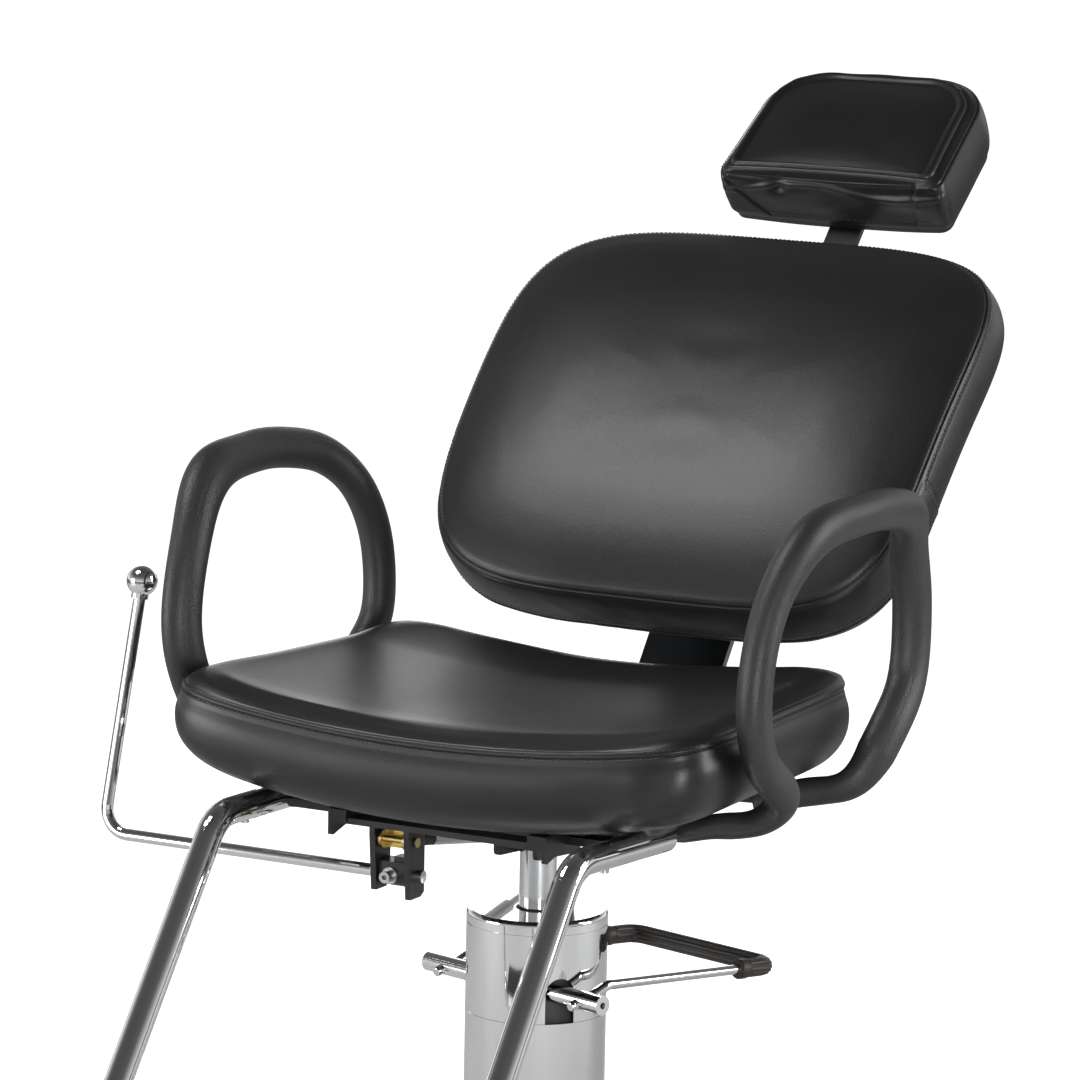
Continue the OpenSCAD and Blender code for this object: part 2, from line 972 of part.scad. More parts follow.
module crank_place() {
    translate([lock_x, hinge_y, hinge_z])
        rotate([-lock_tilt, 0, 0])
            children();
}

module crank_arm() {
    color("black")
        difference() {
            crank_place()
                translate([-5, 0, 0])
                    rotate([90, 0, 90])
                        linear_extrude(height = 10)
                            hull() {
                                circle(17, $fn = 32);
                                translate([0, -crank_l])
                                    circle(9, $fn = 32);
                            }
            translate([-200, hinge_y, hinge_z])
                rotate([0, 90, 0])
                    cylinder(h = 400, r = 14);
            crank_place()
                translate([-10, 0, -crank_l])
                    rotate([0, 90, 0])
                        cylinder(h = 20, r = 4);
        }
}

module crank_pin() {
    color("silver")
        crank_place()
            translate([-14, 0, -crank_l])
                rotate([0, 90, 0])
                    cylinder(h = 28, r = 4);
}

// Frame of the back: y to the rear of the seam plane, z up along the lean
module back_frame() {
    translate(back_mid)
        rotate([-back_lean, 0, 0])
            children();
}

// Wide flat bar from the hinge tube up behind the backrest
module back_bar() {
    half = 47.5;
    color("#3a4046")
        difference() {
            back_frame()
                translate([-half, 0, 0])
                    rotate([90, 0, 90])
                        linear_extrude(height = 2 * half)
                            polygon([[bar_y, 222], [bar_y + bar_t, 222], [bar_y + bar_t, -100],
                                [175, -290], [167, -290], [bar_y, -100]]);
            translate([-200, hinge_y, hinge_z])
                rotate([0, 90, 0])
                    cylinder(h = 400, r = 14);
            back_bolt_places()
                cylinder(h = 60, r = 4.2, center = true);
        }
}

module back_bolt_places() {
    back_frame()
        for (x = [-35, 35])
            for (z = [-70, 70])
                translate([x, bar_y + bar_t, z])
                    rotate([-90, 0, 0])
                        children();
}

module back_plate() {
    color("black")
        difference() {
            back_frame()
                translate([-85, 112.3, -100])
                    cube([170, 4, 200]);
            back_bolt_places()
                cylinder(h = 100, r = 4.2, center = true);
        }
}

module back_spacers() {
    color("black")
        difference() {
            back_frame()
                for (x = [-45, 25])
                    translate([x, 116.3, -90])
                        cube([20, bar_y - 116.3, 180]);
            back_bolt_places()
                cylinder(h = 100, r = 4.2, center = true);
        }
}

module back_bolts() {
    color("dimgray")
        back_bolt_places()
            hex_bolt(13, 5, 4.1, 44);
}

// Backrest outline; the panel is bowed so that its middle stands forward
function bow(z) = (z > 0 ? 37 : 25) * pow(z / 250, 2);
function back_ring(inset, depth, bowed) = [for (k = [0 : 47])
    let (s = squircle(-360 * k / 48, 4.3),
        z = (back_hh + (s[1] > 0 ? 4 : -3) - inset) * s[1])
        [(back_hw + 0.022 * z - inset) * s[0], depth + bowed * bow(z), z]];

module back_board() {
    color("burlywood")
        back_frame()
            difference() {
                translate([-150, 88, -105])
                    cube([300, 10, 210]);
                for (x = [-35, 35])
                    for (z = [-70, 70])
                        translate([x, 0, z])
                            rotate([-90, 0, 0])
                                cylinder(h = 200, r = 4.3);
            }
}

module back_cushion() {
    rings = [back_ring(100, -16, 1), back_ring(30, -8, 1), back_ring(4, 4, 1), back_ring(0, 18, 1),
        back_ring(0, 55, 1), back_ring(4, 66, 1), back_ring(30, 72, 1), back_ring(100, 72, 1)];
    color("#1a1a1c")
        back_frame()
            loft(rings, [0, -19, 0], [0, 72, 0]);
}

// Padded rear shell behind the cushion, with a pocket for the board
module back_shell() {
    rings = [back_ring(100, 72.5, 1), back_ring(30, 72.5, 1), back_ring(21, 73, 1),
        back_ring(20, 80, 1), back_ring(60, 98, 0.7), back_ring(120, 112, 0)];
    color("#161618")
        back_frame()
            difference() {
                loft(rings, [0, 72.5, 0], [0, 112, 0]);
                translate([-150 - gap, 88 - gap, -105 - gap])
                    cube([300 + 2 * gap, 10 + 2 * gap, 210 + 2 * gap]);
                for (x = [-35, 35])
                    for (z = [-70, 70])
                        translate([x, 98, z])
                            rotate([-90, 0, 0])
                                cylinder(h = 60, r = 4.6);
            }
}

// ---- headrest -------------------------------------------------------------

// Sleeve at the top of the back bar that the headrest's bar slides in
module headrest_guide() {
    color("black")
        back_frame()
            difference() {
                translate([-26, 131, 150])
                    cube([52, bar_y - 131, 70]);
                translate([-19.4, 135.4, 140])
                    cube([38.8, 7.2, 90]);
            }
}

module headrest_bar() {
    color("#202022")
        back_frame()
            difference() {
                translate([-19, 135.75, 40])
                    cube([38, 6.5, 400]);
                for (k = [0 : 6])
                    translate([-30, 142.25, 160 + 12 * k])
                        rotate([0, 90, 0])
                            cylinder(h = 60, r = 1.5);
            }
}

module headrest_plate() {
    color("black")
        back_frame()
            translate([-60, 125, 360])
                cube([120, 10.75, 90]);
}

function head_arc(side, cx, cz, r, from, to, n) = [for (k = [0 : n])
    let (a = from + (to - from) * k / n) [side * (cx + r * cos(a)), cz + r * sin(a)]];
// Outline of the pad: tight lower corners, broad upper ones
function head_line() = concat(head_arc(-1, head_hw - 11, -69, 11, -84, 6, 4),
    head_arc(-1, head_hw - 75.5, 35, 72.3, 12, 88, 10),
    head_arc(1, head_hw - 75.5, 35, 72.3, 88, 12, 10),
    head_arc(1, head_hw - 11, -69, 11, 6, -84, 4));
function head_ring(k, y) = [for (p = head_line())
    [p[0] * k, y - 0.0003 * pow(p[0] * k, 2), p[1] * k]];

// The pad is tipped back on its plate; the plate and the bar lie in its rear
module headrest_pad() {
    rings = [head_ring(0.79, -25), head_ring(0.92, -19), head_ring(0.985, -11), head_ring(1, -1),
        head_ring(1, 29), head_ring(0.985, 39), head_ring(0.9, 48), head_ring(0.6, 50.5)];
    color("#1a1a1c")
        back_frame()
            difference() {
                translate([0, 96, 417])
                    rotate([-11.7, 0, 0])
                        loft(rings, [0, -32, 0], [0, 51, 0]);
                translate([-60 - gap, 125 - gap, 300])
                    cube([120 + 2 * gap, 60, 92]);
                translate([-60 - gap, 125 - gap, 391])
                    cube([120 + 2 * gap, 10.75 + gap, 59 + gap]);
                translate([-19 - gap, 135.7, 391])
                    cube([38 + 2 * gap, 40, 49 + gap]);
            }
}

floor_mat();
base_plate();
base_cover();
base_bolts();
pump_body();
cylinder_tube();
pump_head();
ram_bush();
lower_cover();
upper_cover();
cover_lid();
wiper_seal();
rocker_shaft();
shaft_screws();
rocker_cam();
pedal_rod();
pedal_sleeve();
pump_plunger();
ram();
ram_seal();
seat_socket();
mount_plate();
mount_bolts();
seat_rails();
seat_board();
seat_cushion();
arm_left();
arm_right();
arm_stubs();
frame_screws();
footrest_frame();
foot_plate();
foot_tread();
lock_bracket();
lock_pin();
lock_fork();
lock_coil();
lock_tube();
lock_rod();
hinge_plates();
hinge_pin();
lever_rod();
ball_knob();
cam_block();
cam_screw();
hinge_tube();
crank_arm();
crank_pin();
back_bar();
back_plate();
back_spacers();
back_bolts();
back_board();
back_cushion();
back_shell();
headrest_guide();
headrest_bar();
headrest_plate();
headrest_pad();
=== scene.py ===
"""Looks of a hydraulic barber chair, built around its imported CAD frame."""

import math

import bmesh
import bpy
import numpy as np
from mathutils import Matrix, Vector

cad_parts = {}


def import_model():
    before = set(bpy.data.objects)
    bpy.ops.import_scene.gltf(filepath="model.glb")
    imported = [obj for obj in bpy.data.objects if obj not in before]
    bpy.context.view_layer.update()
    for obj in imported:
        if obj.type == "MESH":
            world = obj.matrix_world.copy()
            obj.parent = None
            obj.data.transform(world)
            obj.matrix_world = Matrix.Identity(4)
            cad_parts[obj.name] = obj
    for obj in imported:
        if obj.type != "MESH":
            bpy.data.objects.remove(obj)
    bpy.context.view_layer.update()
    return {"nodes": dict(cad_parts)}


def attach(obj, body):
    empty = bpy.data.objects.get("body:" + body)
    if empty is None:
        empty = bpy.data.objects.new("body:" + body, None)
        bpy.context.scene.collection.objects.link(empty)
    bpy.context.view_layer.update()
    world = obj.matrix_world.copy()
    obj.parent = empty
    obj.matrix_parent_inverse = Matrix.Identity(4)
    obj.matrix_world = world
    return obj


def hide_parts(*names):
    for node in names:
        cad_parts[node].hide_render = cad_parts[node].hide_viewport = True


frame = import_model()
NODES = frame["nodes"]
MM = 0.001
TAU = 2 * math.pi


# ---- materials ---------------------------------------------------------------

def new_material(name):
    m = bpy.data.materials.new(name)
    m.use_nodes = True
    tree = m.node_tree
    return m, tree, tree.nodes["Principled BSDF"]


def node(tree, kind, **inputs):
    n = tree.nodes.new(kind)
    for key, value in inputs.items():
        if key.startswith("p_"):
            setattr(n, key[2:], value)
        else:
            n.inputs[key.replace("_", " ")].default_value = value
    return n


def ramp(tree, source, stops):
    r = tree.nodes.new("ShaderNodeValToRGB")
    tree.links.new(source, r.inputs["Fac"])
    e = r.color_ramp.elements
    while len(e) < len(stops):
        e.new(0.5)
    for k, (at, colour) in enumerate(stops):
        e[k].position = at
        e[k].color = (*colour, 1) if len(colour) == 3 else colour
    return r.outputs["Color"]


def grey(v):
    return (v, v, v)


def coords(tree):
    return tree.nodes.new("ShaderNodeTexCoord").outputs["Object"]


def noise(tree, where, scale, detail=4.0, rough=0.5):
    n = node(tree, "ShaderNodeTexNoise", Scale=scale, Detail=detail, Roughness=rough)
    tree.links.new(where, n.inputs["Vector"])
    return n.outputs["Fac"]


def cells(tree, where, scale, feature="F1"):
    n = node(tree, "ShaderNodeTexVoronoi", p_feature=feature, Scale=scale)
    tree.links.new(where, n.inputs["Vector"])
    return n.outputs["Distance"]


def math_node(tree, op, a, b):
    n = tree.nodes.new("ShaderNodeMath")
    n.operation = op
    for k, v in enumerate((a, b)):
        if isinstance(v, (int, float)):
            n.inputs[k].default_value = v
        else:
            tree.links.new(v, n.inputs[k])
    return n.outputs[0]


def bump(tree, bsdf, heights):
    """Chains bumps: each entry is (height socket, strength, distance in metres)."""
    last = None
    for height, strength, distance in heights:
        b = node(tree, "ShaderNodeBump", Strength=strength, Distance=distance)
        tree.links.new(height, b.inputs["Height"])
        if last is not None:
            tree.links.new(last, b.inputs["Normal"])
        last = b.outputs["Normal"]
    tree.links.new(last, bsdf.inputs["Normal"])


def vinyl(name, base, rough, grain=0.16, sheen=0.0):
    """Black upholstery vinyl: fine pebble grain, slight cloudiness in its gloss."""
    m, t, b = new_material(name)
    where = coords(t)
    cloud = noise(t, where, 9.0, 3.0)
    fine = noise(t, where, 420.0, 3.0)
    pebble = cells(t, where, 1150.0, "SMOOTH_F1")
    colour = ramp(t, cloud, [(0.3, [c * 0.86 for c in base]), (0.72, [c * 1.16 for c in base])])
    t.links.new(colour, b.inputs["Base Color"])
    gloss = math_node(t, "ADD", math_node(t, "MULTIPLY", fine, 0.10),
                      math_node(t, "MULTIPLY", cloud, 0.05))
    t.links.new(math_node(t, "ADD", gloss, rough - 0.07), b.inputs["Roughness"])
    b.inputs["Specular IOR Level"].default_value = 0.5
    if sheen:
        b.inputs["Sheen Weight"].default_value = sheen
        b.inputs["Sheen Roughness"].default_value = 0.4
    bump(t, b, [(pebble, grain, 0.0007), (fine, grain * 0.8, 0.0006), (noise(t, where, 60.0), 0.08, 0.0015)])
    return m


def skin_foam(name):
    """Self-skinned foam of the arm loops: dull, leathery moulded grain."""
    m, t, b = new_material(name)
    where = coords(t)
    cloud = noise(t, where, 14.0, 4.0)
    grain = cells(t, where, 620.0, "SMOOTH_F1")
    fine = noise(t, where, 900.0, 2.0)
    t.links.new(ramp(t, cloud, [(0.3, (0.024, 0.0237, 0.023)), (0.75, (0.036, 0.0353, 0.034))]),
                b.inputs["Base Color"])
    t.links.new(math_node(t, "ADD", math_node(t, "MULTIPLY", cloud, 0.12), 0.40), b.inputs["Roughness"])
    b.inputs["Specular IOR Level"].default_value = 0.5
    bump(t, b, [(grain, 0.35, 0.0009), (fine, 0.22, 0.0006)])
    return m


def chrome(name, tint=(0.86, 0.865, 0.87), rough=0.045):
    m, t, b = new_material(name)
    where = coords(t)
    haze = noise(t, where, 7.0, 5.0)
    t.links.new(ramp(t, haze, [(0.3, [c * 0.97 for c in tint]), (0.7, tint)]), b.inputs["Base Color"])
    b.inputs["Metallic"].default_value = 1.0
    t.links.new(math_node(t, "ADD", math_node(t, "MULTIPLY", haze, 0.05), rough - 0.02), b.inputs["Roughness"])
    bump(t, b, [(noise(t, where, 26.0, 2.0), 0.03, 0.0006)])
    return m


def steel(name, base, rough, scale=260.0, metallic=1.0):
    """Turned or drawn metal with fine irregular marks."""
    m, t, b = new_material(name)
    where = coords(t)
    marks = noise(t, where, scale, 5.0, 0.6)
    smear = noise(t, where, 22.0, 4.0)
    t.links.new(ramp(t, smear, [(0.3, [c * 0.8 for c in base]), (0.75, base)]), b.inputs["Base Color"])
    b.inputs["Metallic"].default_value = metallic
    t.links.new(math_node(t, "ADD", math_node(t, "MULTIPLY", smear, 0.16), rough - 0.08), b.inputs["Roughness"])
    bump(t, b, [(marks, 0.08, 0.0005)])
    return m


def paint(name, base, rough):
    m, t, b = new_material(name)
    where = coords(t)
    peel = noise(t, where, 230.0, 2.0)
    dust = noise(t, where, 30.0, 5.0)
    t.links.new(ramp(t, dust, [(0.35, base), (0.8, [c * 1.3 + 0.004 for c in base])]), b.inputs["Base Color"])
    t.links.new(math_node(t, "ADD", math_node(t, "MULTIPLY", dust, 0.14), rough - 0.07), b.inputs["Roughness"])
    bump(t, b, [(peel, 0.12, 0.0007)])
    return m


def rubber(name, base, rough):
    m, t, b = new_material(name)
    where = coords(t)
    fine = noise(t, where, 700.0, 3.0)
    wear = noise(t, where, 35.0, 4.0)
    t.links.new(ramp(t, wear, [(0.3, base), (0.8, [c * 1.5 + 0.003 for c in base])]), b.inputs["Base Color"])
    t.links.new(math_node(t, "ADD", math_node(t, "MULTIPLY", wear, 0.15), rough - 0.07), b.inputs["Roughness"])
    bump(t, b, [(fine, 0.18, 0.0005)])
    return m


def plywood(name):
    m, t, b = new_material(name)
    where = coords(t)
    mapping = node(t, "ShaderNodeMapping")
    mapping.inputs["Scale"].default_value = (1.0, 9.0, 9.0)
    t.links.new(where, mapping.inputs["Vector"])
    grain = noise(t, mapping.outputs["Vector"], 14.0, 6.0, 0.6)
    t.links.new(ramp(t, grain, [(0.3, (0.42, 0.29, 0.17)), (0.7, (0.60, 0.46, 0.30))]), b.inputs["Base Color"])
    b.inputs["Roughness"].default_value = 0.7
    bump(t, b, [(grain, 0.1, 0.001)])
    return m


VINYL = vinyl("seat_vinyl", (0.0115, 0.0118, 0.0125), 0.37)
VINYL_BACK = vinyl("back_vinyl", (0.0115, 0.0118, 0.0125), 0.36, 0.20)
VINYL_HEAD = vinyl("headrest_vinyl", (0.0105, 0.0103, 0.0103), 0.36, 0.14)
LINING = vinyl("underside_lining", (0.010, 0.010, 0.010), 0.75, 0.3)
FOAM = skin_foam("arm_skin_foam")
THREAD = rubber("black_thread", (0.006, 0.006, 0.006), 0.75)
# Lighter, glossier copy of the same black thread: a painted highlight standing for the light that the raised
# stitches catch.
THREAD_PAINTED_LIT = rubber("black_thread_painted_highlight", (0.030, 0.030, 0.031), 0.55)
CHROME = chrome("bright_chrome")
CHROME_KNOB = chrome("knob_chrome", (0.88, 0.88, 0.885), 0.04)
STEEL = steel("bare_steel", (0.58, 0.58, 0.59), 0.28)
STEEL_DARK = steel("dark_fastener_steel", (0.16, 0.16, 0.165), 0.42)
STEEL_BACK = steel("dark_polished_steel", (0.42, 0.45, 0.48), 0.18, 90.0)
RAM = steel("ram_steel", (0.72, 0.73, 0.74), 0.16, 500.0)
IRON = paint("painted_cast_iron", (0.05, 0.05, 0.052), 0.62)
BRONZE = steel("turned_bronze", (0.55, 0.36, 0.16), 0.35)
ZINC = steel("yellow_zinc", (0.72, 0.58, 0.26), 0.30, 320.0)
BLACK = paint("black_semi_gloss_paint", (0.010, 0.010, 0.011), 0.34)
BLACK_SATIN = paint("black_satin_coat", (0.016, 0.016, 0.016), 0.5)
RUBBER = rubber("black_rubber", (0.014, 0.0135, 0.013), 0.6)
RUBBER_BROWN = rubber("sleeve_rubber", (0.020, 0.0165, 0.014), 0.48)
WOOD = plywood("sanded_plywood")

NODE_MATERIAL = {
    "floor_mat": RUBBER, "base_plate": IRON, "base_cover": CHROME, "base_bolts": STEEL_DARK,
    "pump_body": IRON, "cylinder_tube": STEEL, "pump_head": IRON, "ram_bush": BRONZE,
    "lower_cover": CHROME, "upper_cover": CHROME, "cover_lid": CHROME, "wiper_seal": RUBBER,
    "rocker_shaft": CHROME, "shaft_screws": STEEL_DARK, "rocker_cam": STEEL, "pedal_rod": CHROME,
    "pedal_sleeve": RUBBER_BROWN, "pump_plunger": STEEL, "ram": RAM, "ram_seal": RUBBER,
    "seat_socket": BLACK, "mount_plate": BLACK, "mount_bolts": STEEL_DARK, "seat_rails": BLACK,
    "seat_board": LINING, "arm_stubs": BLACK_SATIN, "frame_screws": STEEL,
    "footrest_frame": CHROME, "foot_plate": CHROME, "foot_tread": RUBBER, "lock_bracket": BLACK,
    "lock_pin": ZINC, "lock_fork": ZINC, "lock_tube": STEEL, "lock_rod": STEEL,
    "hinge_plates": BLACK, "hinge_pin": STEEL, "lever_rod": CHROME, "ball_knob": CHROME_KNOB,
    "cam_block": BLACK, "cam_screw": STEEL, "hinge_tube": BLACK, "crank_arm": BLACK,
    "crank_pin": STEEL, "back_bar": STEEL_BACK, "back_plate": BLACK, "back_spacers": BLACK,
    "back_bolts": STEEL_DARK, "back_board": WOOD, "headrest_guide": BLACK,
    "headrest_bar": BLACK_SATIN, "headrest_plate": BLACK,
}
for name, material in NODE_MATERIAL.items():
    mesh = NODES[name].data
    mesh.materials.clear()
    mesh.materials.append(material)


# ---- mesh helpers ------------------------------------------------------------

def make_mesh(name, verts, faces, material, smooth=True):
    mesh = bpy.data.meshes.new(name)
    mesh.from_pydata([tuple(v) for v in verts], [], faces)
    mesh.validate()
    bm = bmesh.new()
    bm.from_mesh(mesh)
    bmesh.ops.recalc_face_normals(bm, faces=bm.faces)
    bm.to_mesh(mesh)
    bm.free()
    for p in mesh.polygons:
        p.use_smooth = smooth
    mesh.materials.append(material)
    o = bpy.data.objects.new(name, mesh)
    bpy.context.scene.collection.objects.link(o)
    return o


def ring_faces(rows, around, closed_rows=False):
    """Quads between rows of points, each row closed on itself."""
    faces = []
    for i in range(rows if closed_rows else rows - 1):
        a, b = i * around, ((i + 1) % rows) * around
        for j in range(around):
            k = (j + 1) % around
            faces.append((a + j, b + j, b + k, a + k))
    return faces


def capped(grid):
    """Vertices and faces of a closed form: grid is (rows, around, 3), with a pole at each end."""
    rows, around, _ = grid.shape
    verts = np.concatenate([grid.reshape(-1, 3), grid[:1].mean(1), grid[-1:].mean(1)])
    faces = ring_faces(rows, around)
    first, last = rows * around, rows * around + 1
    for j in range(around):
        k = (j + 1) % around
        faces.append((first, j, k))
        faces.append((last, (rows - 1) * around + k, (rows - 1) * around + j))
    return verts, faces


def unit(v):
    return v / np.maximum(np.linalg.norm(v, axis=-1, keepdims=True), 1e-12)


def spline(points, steps, closed=False):
    """Catmull-Rom curve through the points."""
    p = np.asarray(points, float)
    n = len(p)
    out = []
    for i in range(n if closed else n - 1):
        q = [p[(i + k) % n] if closed else p[min(max(i + k, 0), n - 1)] for k in (-1, 0, 1, 2)]
        for s in range(steps):
            t = s / steps
            out.append(0.5 * (2 * q[1] + (q[2] - q[0]) * t + (2 * q[0] - 5 * q[1] + 4 * q[2] - q[3]) * t * t
                              + (3 * q[1] - 3 * q[2] + q[3] - q[0]) * t ** 3))
    if not closed:
        out.append(p[-1])
    return np.array(out)


def resample(path, count, closed=False):
    p = np.asarray(path, float)
    if closed:
        p = np.vstack([p, p[:1]])
    s = np.concatenate([[0], np.cumsum(np.linalg.norm(np.diff(p, axis=0), axis=1))])
    at = np.linspace(0, s[-1], count + 1)[:-1] if closed else np.linspace(0, s[-1], count)
    return np.stack([np.interp(at, s, p[:, k]) for k in range(3)], 1)


def smooth_path(p, rounds):
    p = p.copy()
    for _ in range(rounds):
        p[1:-1] = 0.25 * p[:-2] + 0.5 * p[1:-1] + 0.25 * p[2:]
    return p


def frames(path, hint=(1, 0.1, 0)):
    t = unit(np.gradient(path, axis=0))
    up = np.zeros_like(path)
    u = np.array(hint, float)
    for i in range(len(path)):
        u = u - t[i] * (u @ t[i])
        u = u / np.linalg.norm(u)
        up[i] = u
    return t, up, np.cross(t, up)


def tube_rows(path, radius, sides, shape=None, hint=(1, 0.1, 0)):
    """Rows of points round a path; radius is a number or one per point; shape(i, angle) scales it."""
    t, u, w = frames(path, hint)
    ang = np.arange(sides) * TAU / sides
    r = np.broadcast_to(np.asarray(radius, float), (len(path),))[:, None] * np.ones((1, sides))
    if shape is not None:
        r = r * shape(np.arange(len(path))[:, None], ang[None, :])
    return (path[:, None] + r[..., None] * (np.cos(ang)[None, :, None] * u[:, None]
                                             + np.sin(ang)[None, :, None] * w[:, None]))


def tube(name, path, radius, sides, material, shape=None, hint=(1, 0.1, 0), round_end=0.35):
    """A closed tube in millimetres with softly rounded ends."""
    path = np.asarray(path, float)
    r = np.broadcast_to(np.asarray(radius, float), (len(path),)).copy()
    rows = tube_rows(path, r, sides, shape, hint)
    t = unit(np.gradient(path, axis=0))
    ends = []
    for at, sign in ((0, -1), (-1, 1)):
        ring, centre, e = rows[at], path[at], r[at] * round_end
        steps = [(math.sin(a) * e, 1 - (1 - math.cos(a)) * round_end) for a in np.linspace(0.35, math.pi / 2, 4)]
        steps.append((e, 0.35))
        extra = [centre + sign * t[at] * d + (ring - centre) * k for d, k in steps]
        ends.append(extra[::-1] if sign < 0 else extra)
    grid = np.array(ends[0] + list(rows) + ends[1])
    verts, faces = capped(grid)
    return make_mesh(name, verts * MM, faces, material)


def upsample(grid, fine_rows, fine_around):
    """Catmull-Rom refinement of a grid that is open along its rows and closed round them."""
    def along(a, steps, closed):
        n = len(a)
        t = (np.arange(steps) / steps).reshape(-1, *([1] * (a.ndim - 1)))
        parts = []
        for i in range(n if closed else n - 1):
            q = [a[(i + k) % n] if closed else a[min(max(i + k, 0), n - 1)] for k in (-1, 0, 1, 2)]
            parts.append(0.5 * (2 * q[1] + (q[2] - q[0]) * t + (2 * q[0] - 5 * q[1] + 4 * q[2] - q[3]) * t ** 2
                                + (3 * q[1] - 3 * q[2] + q[3] - q[0]) * t ** 3))
        out = np.concatenate(parts)
        return out if closed else np.concatenate([out, a[-1:]])
    g = along(grid, fine_rows, False)
    return along(g.transpose(1, 0, 2), fine_around, True).transpose(1, 0, 2)


def grid_normals(grid):
    """Outward normals of a closed grid, one per point."""
    du = np.roll(grid, -1, 1) - np.roll(grid, 1, 1)
    dv = np.gradient(grid, axis=0)
    n = unit(np.cross(du, dv))
    centre = grid.reshape(-1, 3).mean(0)
    if np.sum(n * (grid - centre)) < 0:
        n = -n
    return n


def inflate(grid, pinned, cap, folds, pressure=4.0, frames_run=14):
    """Swells a closed grid as stuffed cloth. pinned is a weight for each row, 1 where a seam holds.
    No point moves further than cap, and no more than that many folds stay round each row. Lengths
    are in metres."""
    rows, around, _ = grid.shape
    verts, faces = capped(grid)
    o = make_mesh("cloth_tmp", verts, faces, VINYL)
    hold = o.vertex_groups.new(name="hold")
    for i in range(rows):
        if pinned[i] > 0:
            hold.add(list(range(i * around, (i + 1) * around)), float(pinned[i]), "REPLACE")
    m = o.modifiers.new("cloth", "CLOTH")
    s = m.settings
    s.quality = 5
    s.mass = 0.35
    s.tension_stiffness = s.compression_stiffness = 12
    s.shear_stiffness = 6
    s.bending_stiffness = 0.6
    s.use_pressure = True
    s.uniform_pressure_force = pressure
    s.effector_weights.gravity = 0
    s.vertex_group_mass = "hold"
    m.point_cache.frame_start, m.point_cache.frame_end = 1, frames_run
    scene = bpy.context.scene
    for f in range(1, frames_run + 1):
        scene.frame_set(f)
    done = o.evaluated_get(bpy.context.evaluated_depsgraph_get()).to_mesh()
    co = np.zeros(len(done.vertices) * 3, np.float32)
    done.vertices.foreach_get("co", co)
    co = co.reshape(-1, 3)[:rows * around].reshape(rows, around, 3).astype(float)
    o.to_mesh_clear()
    bpy.data.objects.remove(o)
    scene.frame_set(1)
    waves = np.fft.rfft(co - grid, axis=1)
    for i in range(rows):
        waves[i, 1 + int(folds * min(1, i / 6)):] = 0
    move = np.fft.irfft(waves, around, axis=1)
    far = np.linalg.norm(move, axis=2, keepdims=True)
    return grid + move * np.minimum(1, cap / np.maximum(far, 1e-9))


def threads(name, path, normals, pitch, length, radius, material, lift=0.0, closed=False):
    """A row of sewn stitches in millimetres that lie along a path on a surface."""
    p = np.asarray(path, float)
    n = np.asarray(normals, float)
    if closed:
        p, n = np.vstack([p, p[:1]]), np.vstack([n, n[:1]])
    s = np.concatenate([[0], np.cumsum(np.linalg.norm(np.diff(p, axis=0), axis=1))])
    count = max(1, int(s[-1] / pitch))
    at = (np.arange(count) + 0.5) * s[-1] / count
    pos = np.stack([np.interp(at, s, p[:, k]) for k in range(3)], 1)
    nor = unit(np.stack([np.interp(at, s, n[:, k]) for k in range(3)], 1))
    ahead = np.stack([np.interp(at + 0.5, s, p[:, k]) for k in range(3)], 1)
    behind = np.stack([np.interp(at - 0.5, s, p[:, k]) for k in range(3)], 1)
    d = unit(ahead - behind)
    side = np.cross(nor, d)
    sides, rings = 6, [(-0.5, 0.25, -0.9), (-0.42, 0.8, -0.25), (-0.2, 1.0, 0.2), (0.2, 1.0, 0.2),
                       (0.42, 0.8, -0.25), (0.5, 0.25, -0.9)]
    ang = np.arange(sides) * TAU / sides
    verts, faces = [], []
    for i in range(count):
        base = i * len(rings) * sides
        for along, fat, up in rings:
            c = pos[i] + d[i] * along * length + nor[i] * (lift + up * radius)
            verts.extend(c + fat * radius * (np.cos(ang)[:, None] * side[i] + np.sin(ang)[:, None] * nor[i]))
        for r in range(len(rings) - 1):
            for j in range(sides):
                k = (j + 1) % sides
                a = base + r * sides
                faces.append((a + j, a + k, a + sides + k, a + sides + j))
        faces.append(tuple(base + j for j in reversed(range(sides))))
        faces.append(tuple(base + (len(rings) - 1) * sides + j for j in range(sides)))
    return make_mesh(name, np.array(verts) * MM, faces, material)


def squircle(t, n):
    c, s = np.cos(t), np.sin(t)
    return np.sign(c) * np.abs(c) ** (2 / n), np.sign(s) * np.abs(s) ** (2 / n)


def even_outline(n, half_a, half_b, count):
    """Superellipse outline resampled to equal steps of length; returns angles' unit coordinates."""
    x, y = squircle(np.linspace(0, TAU, 6001)[:-1], n)
    p = np.stack([x * half_a, y * half_b, np.zeros_like(x)], 1)
    q = resample(p, count, True)
    return q[:, 0] / half_a, q[:, 1] / half_b


def bumpf(x, at, width):
    return np.exp(-((x - at) / width) ** 2)


def ease(x, a, b):
    t = np.clip((x - a) / (b - a), 0, 1)
    return t * t * (3 - 2 * t)


# ---- seams on a grid ---------------------------------------------------------

def run_length(grid, seam_row):
    """Length down each column of a grid, zero at the seam row."""
    d = np.linalg.norm(np.diff(grid, axis=0), axis=2)
    s = np.concatenate([np.zeros((1, grid.shape[1])), np.cumsum(d, axis=0)])
    return s - s[seam_row]


def line_on(grid, normals, s, value):
    """Points and normals of the line that lies at run length value in every column."""
    around = grid.shape[1]
    value = np.broadcast_to(np.asarray(value, float), (around,))
    p, n = np.zeros((around, 3)), np.zeros((around, 3))
    for j in range(around):
        for k in range(3):
            p[j, k] = np.interp(value[j], s[:, j], grid[:, j, k])
            n[j, k] = np.interp(value[j], s[:, j], normals[:, j, k])
    return p, unit(n)


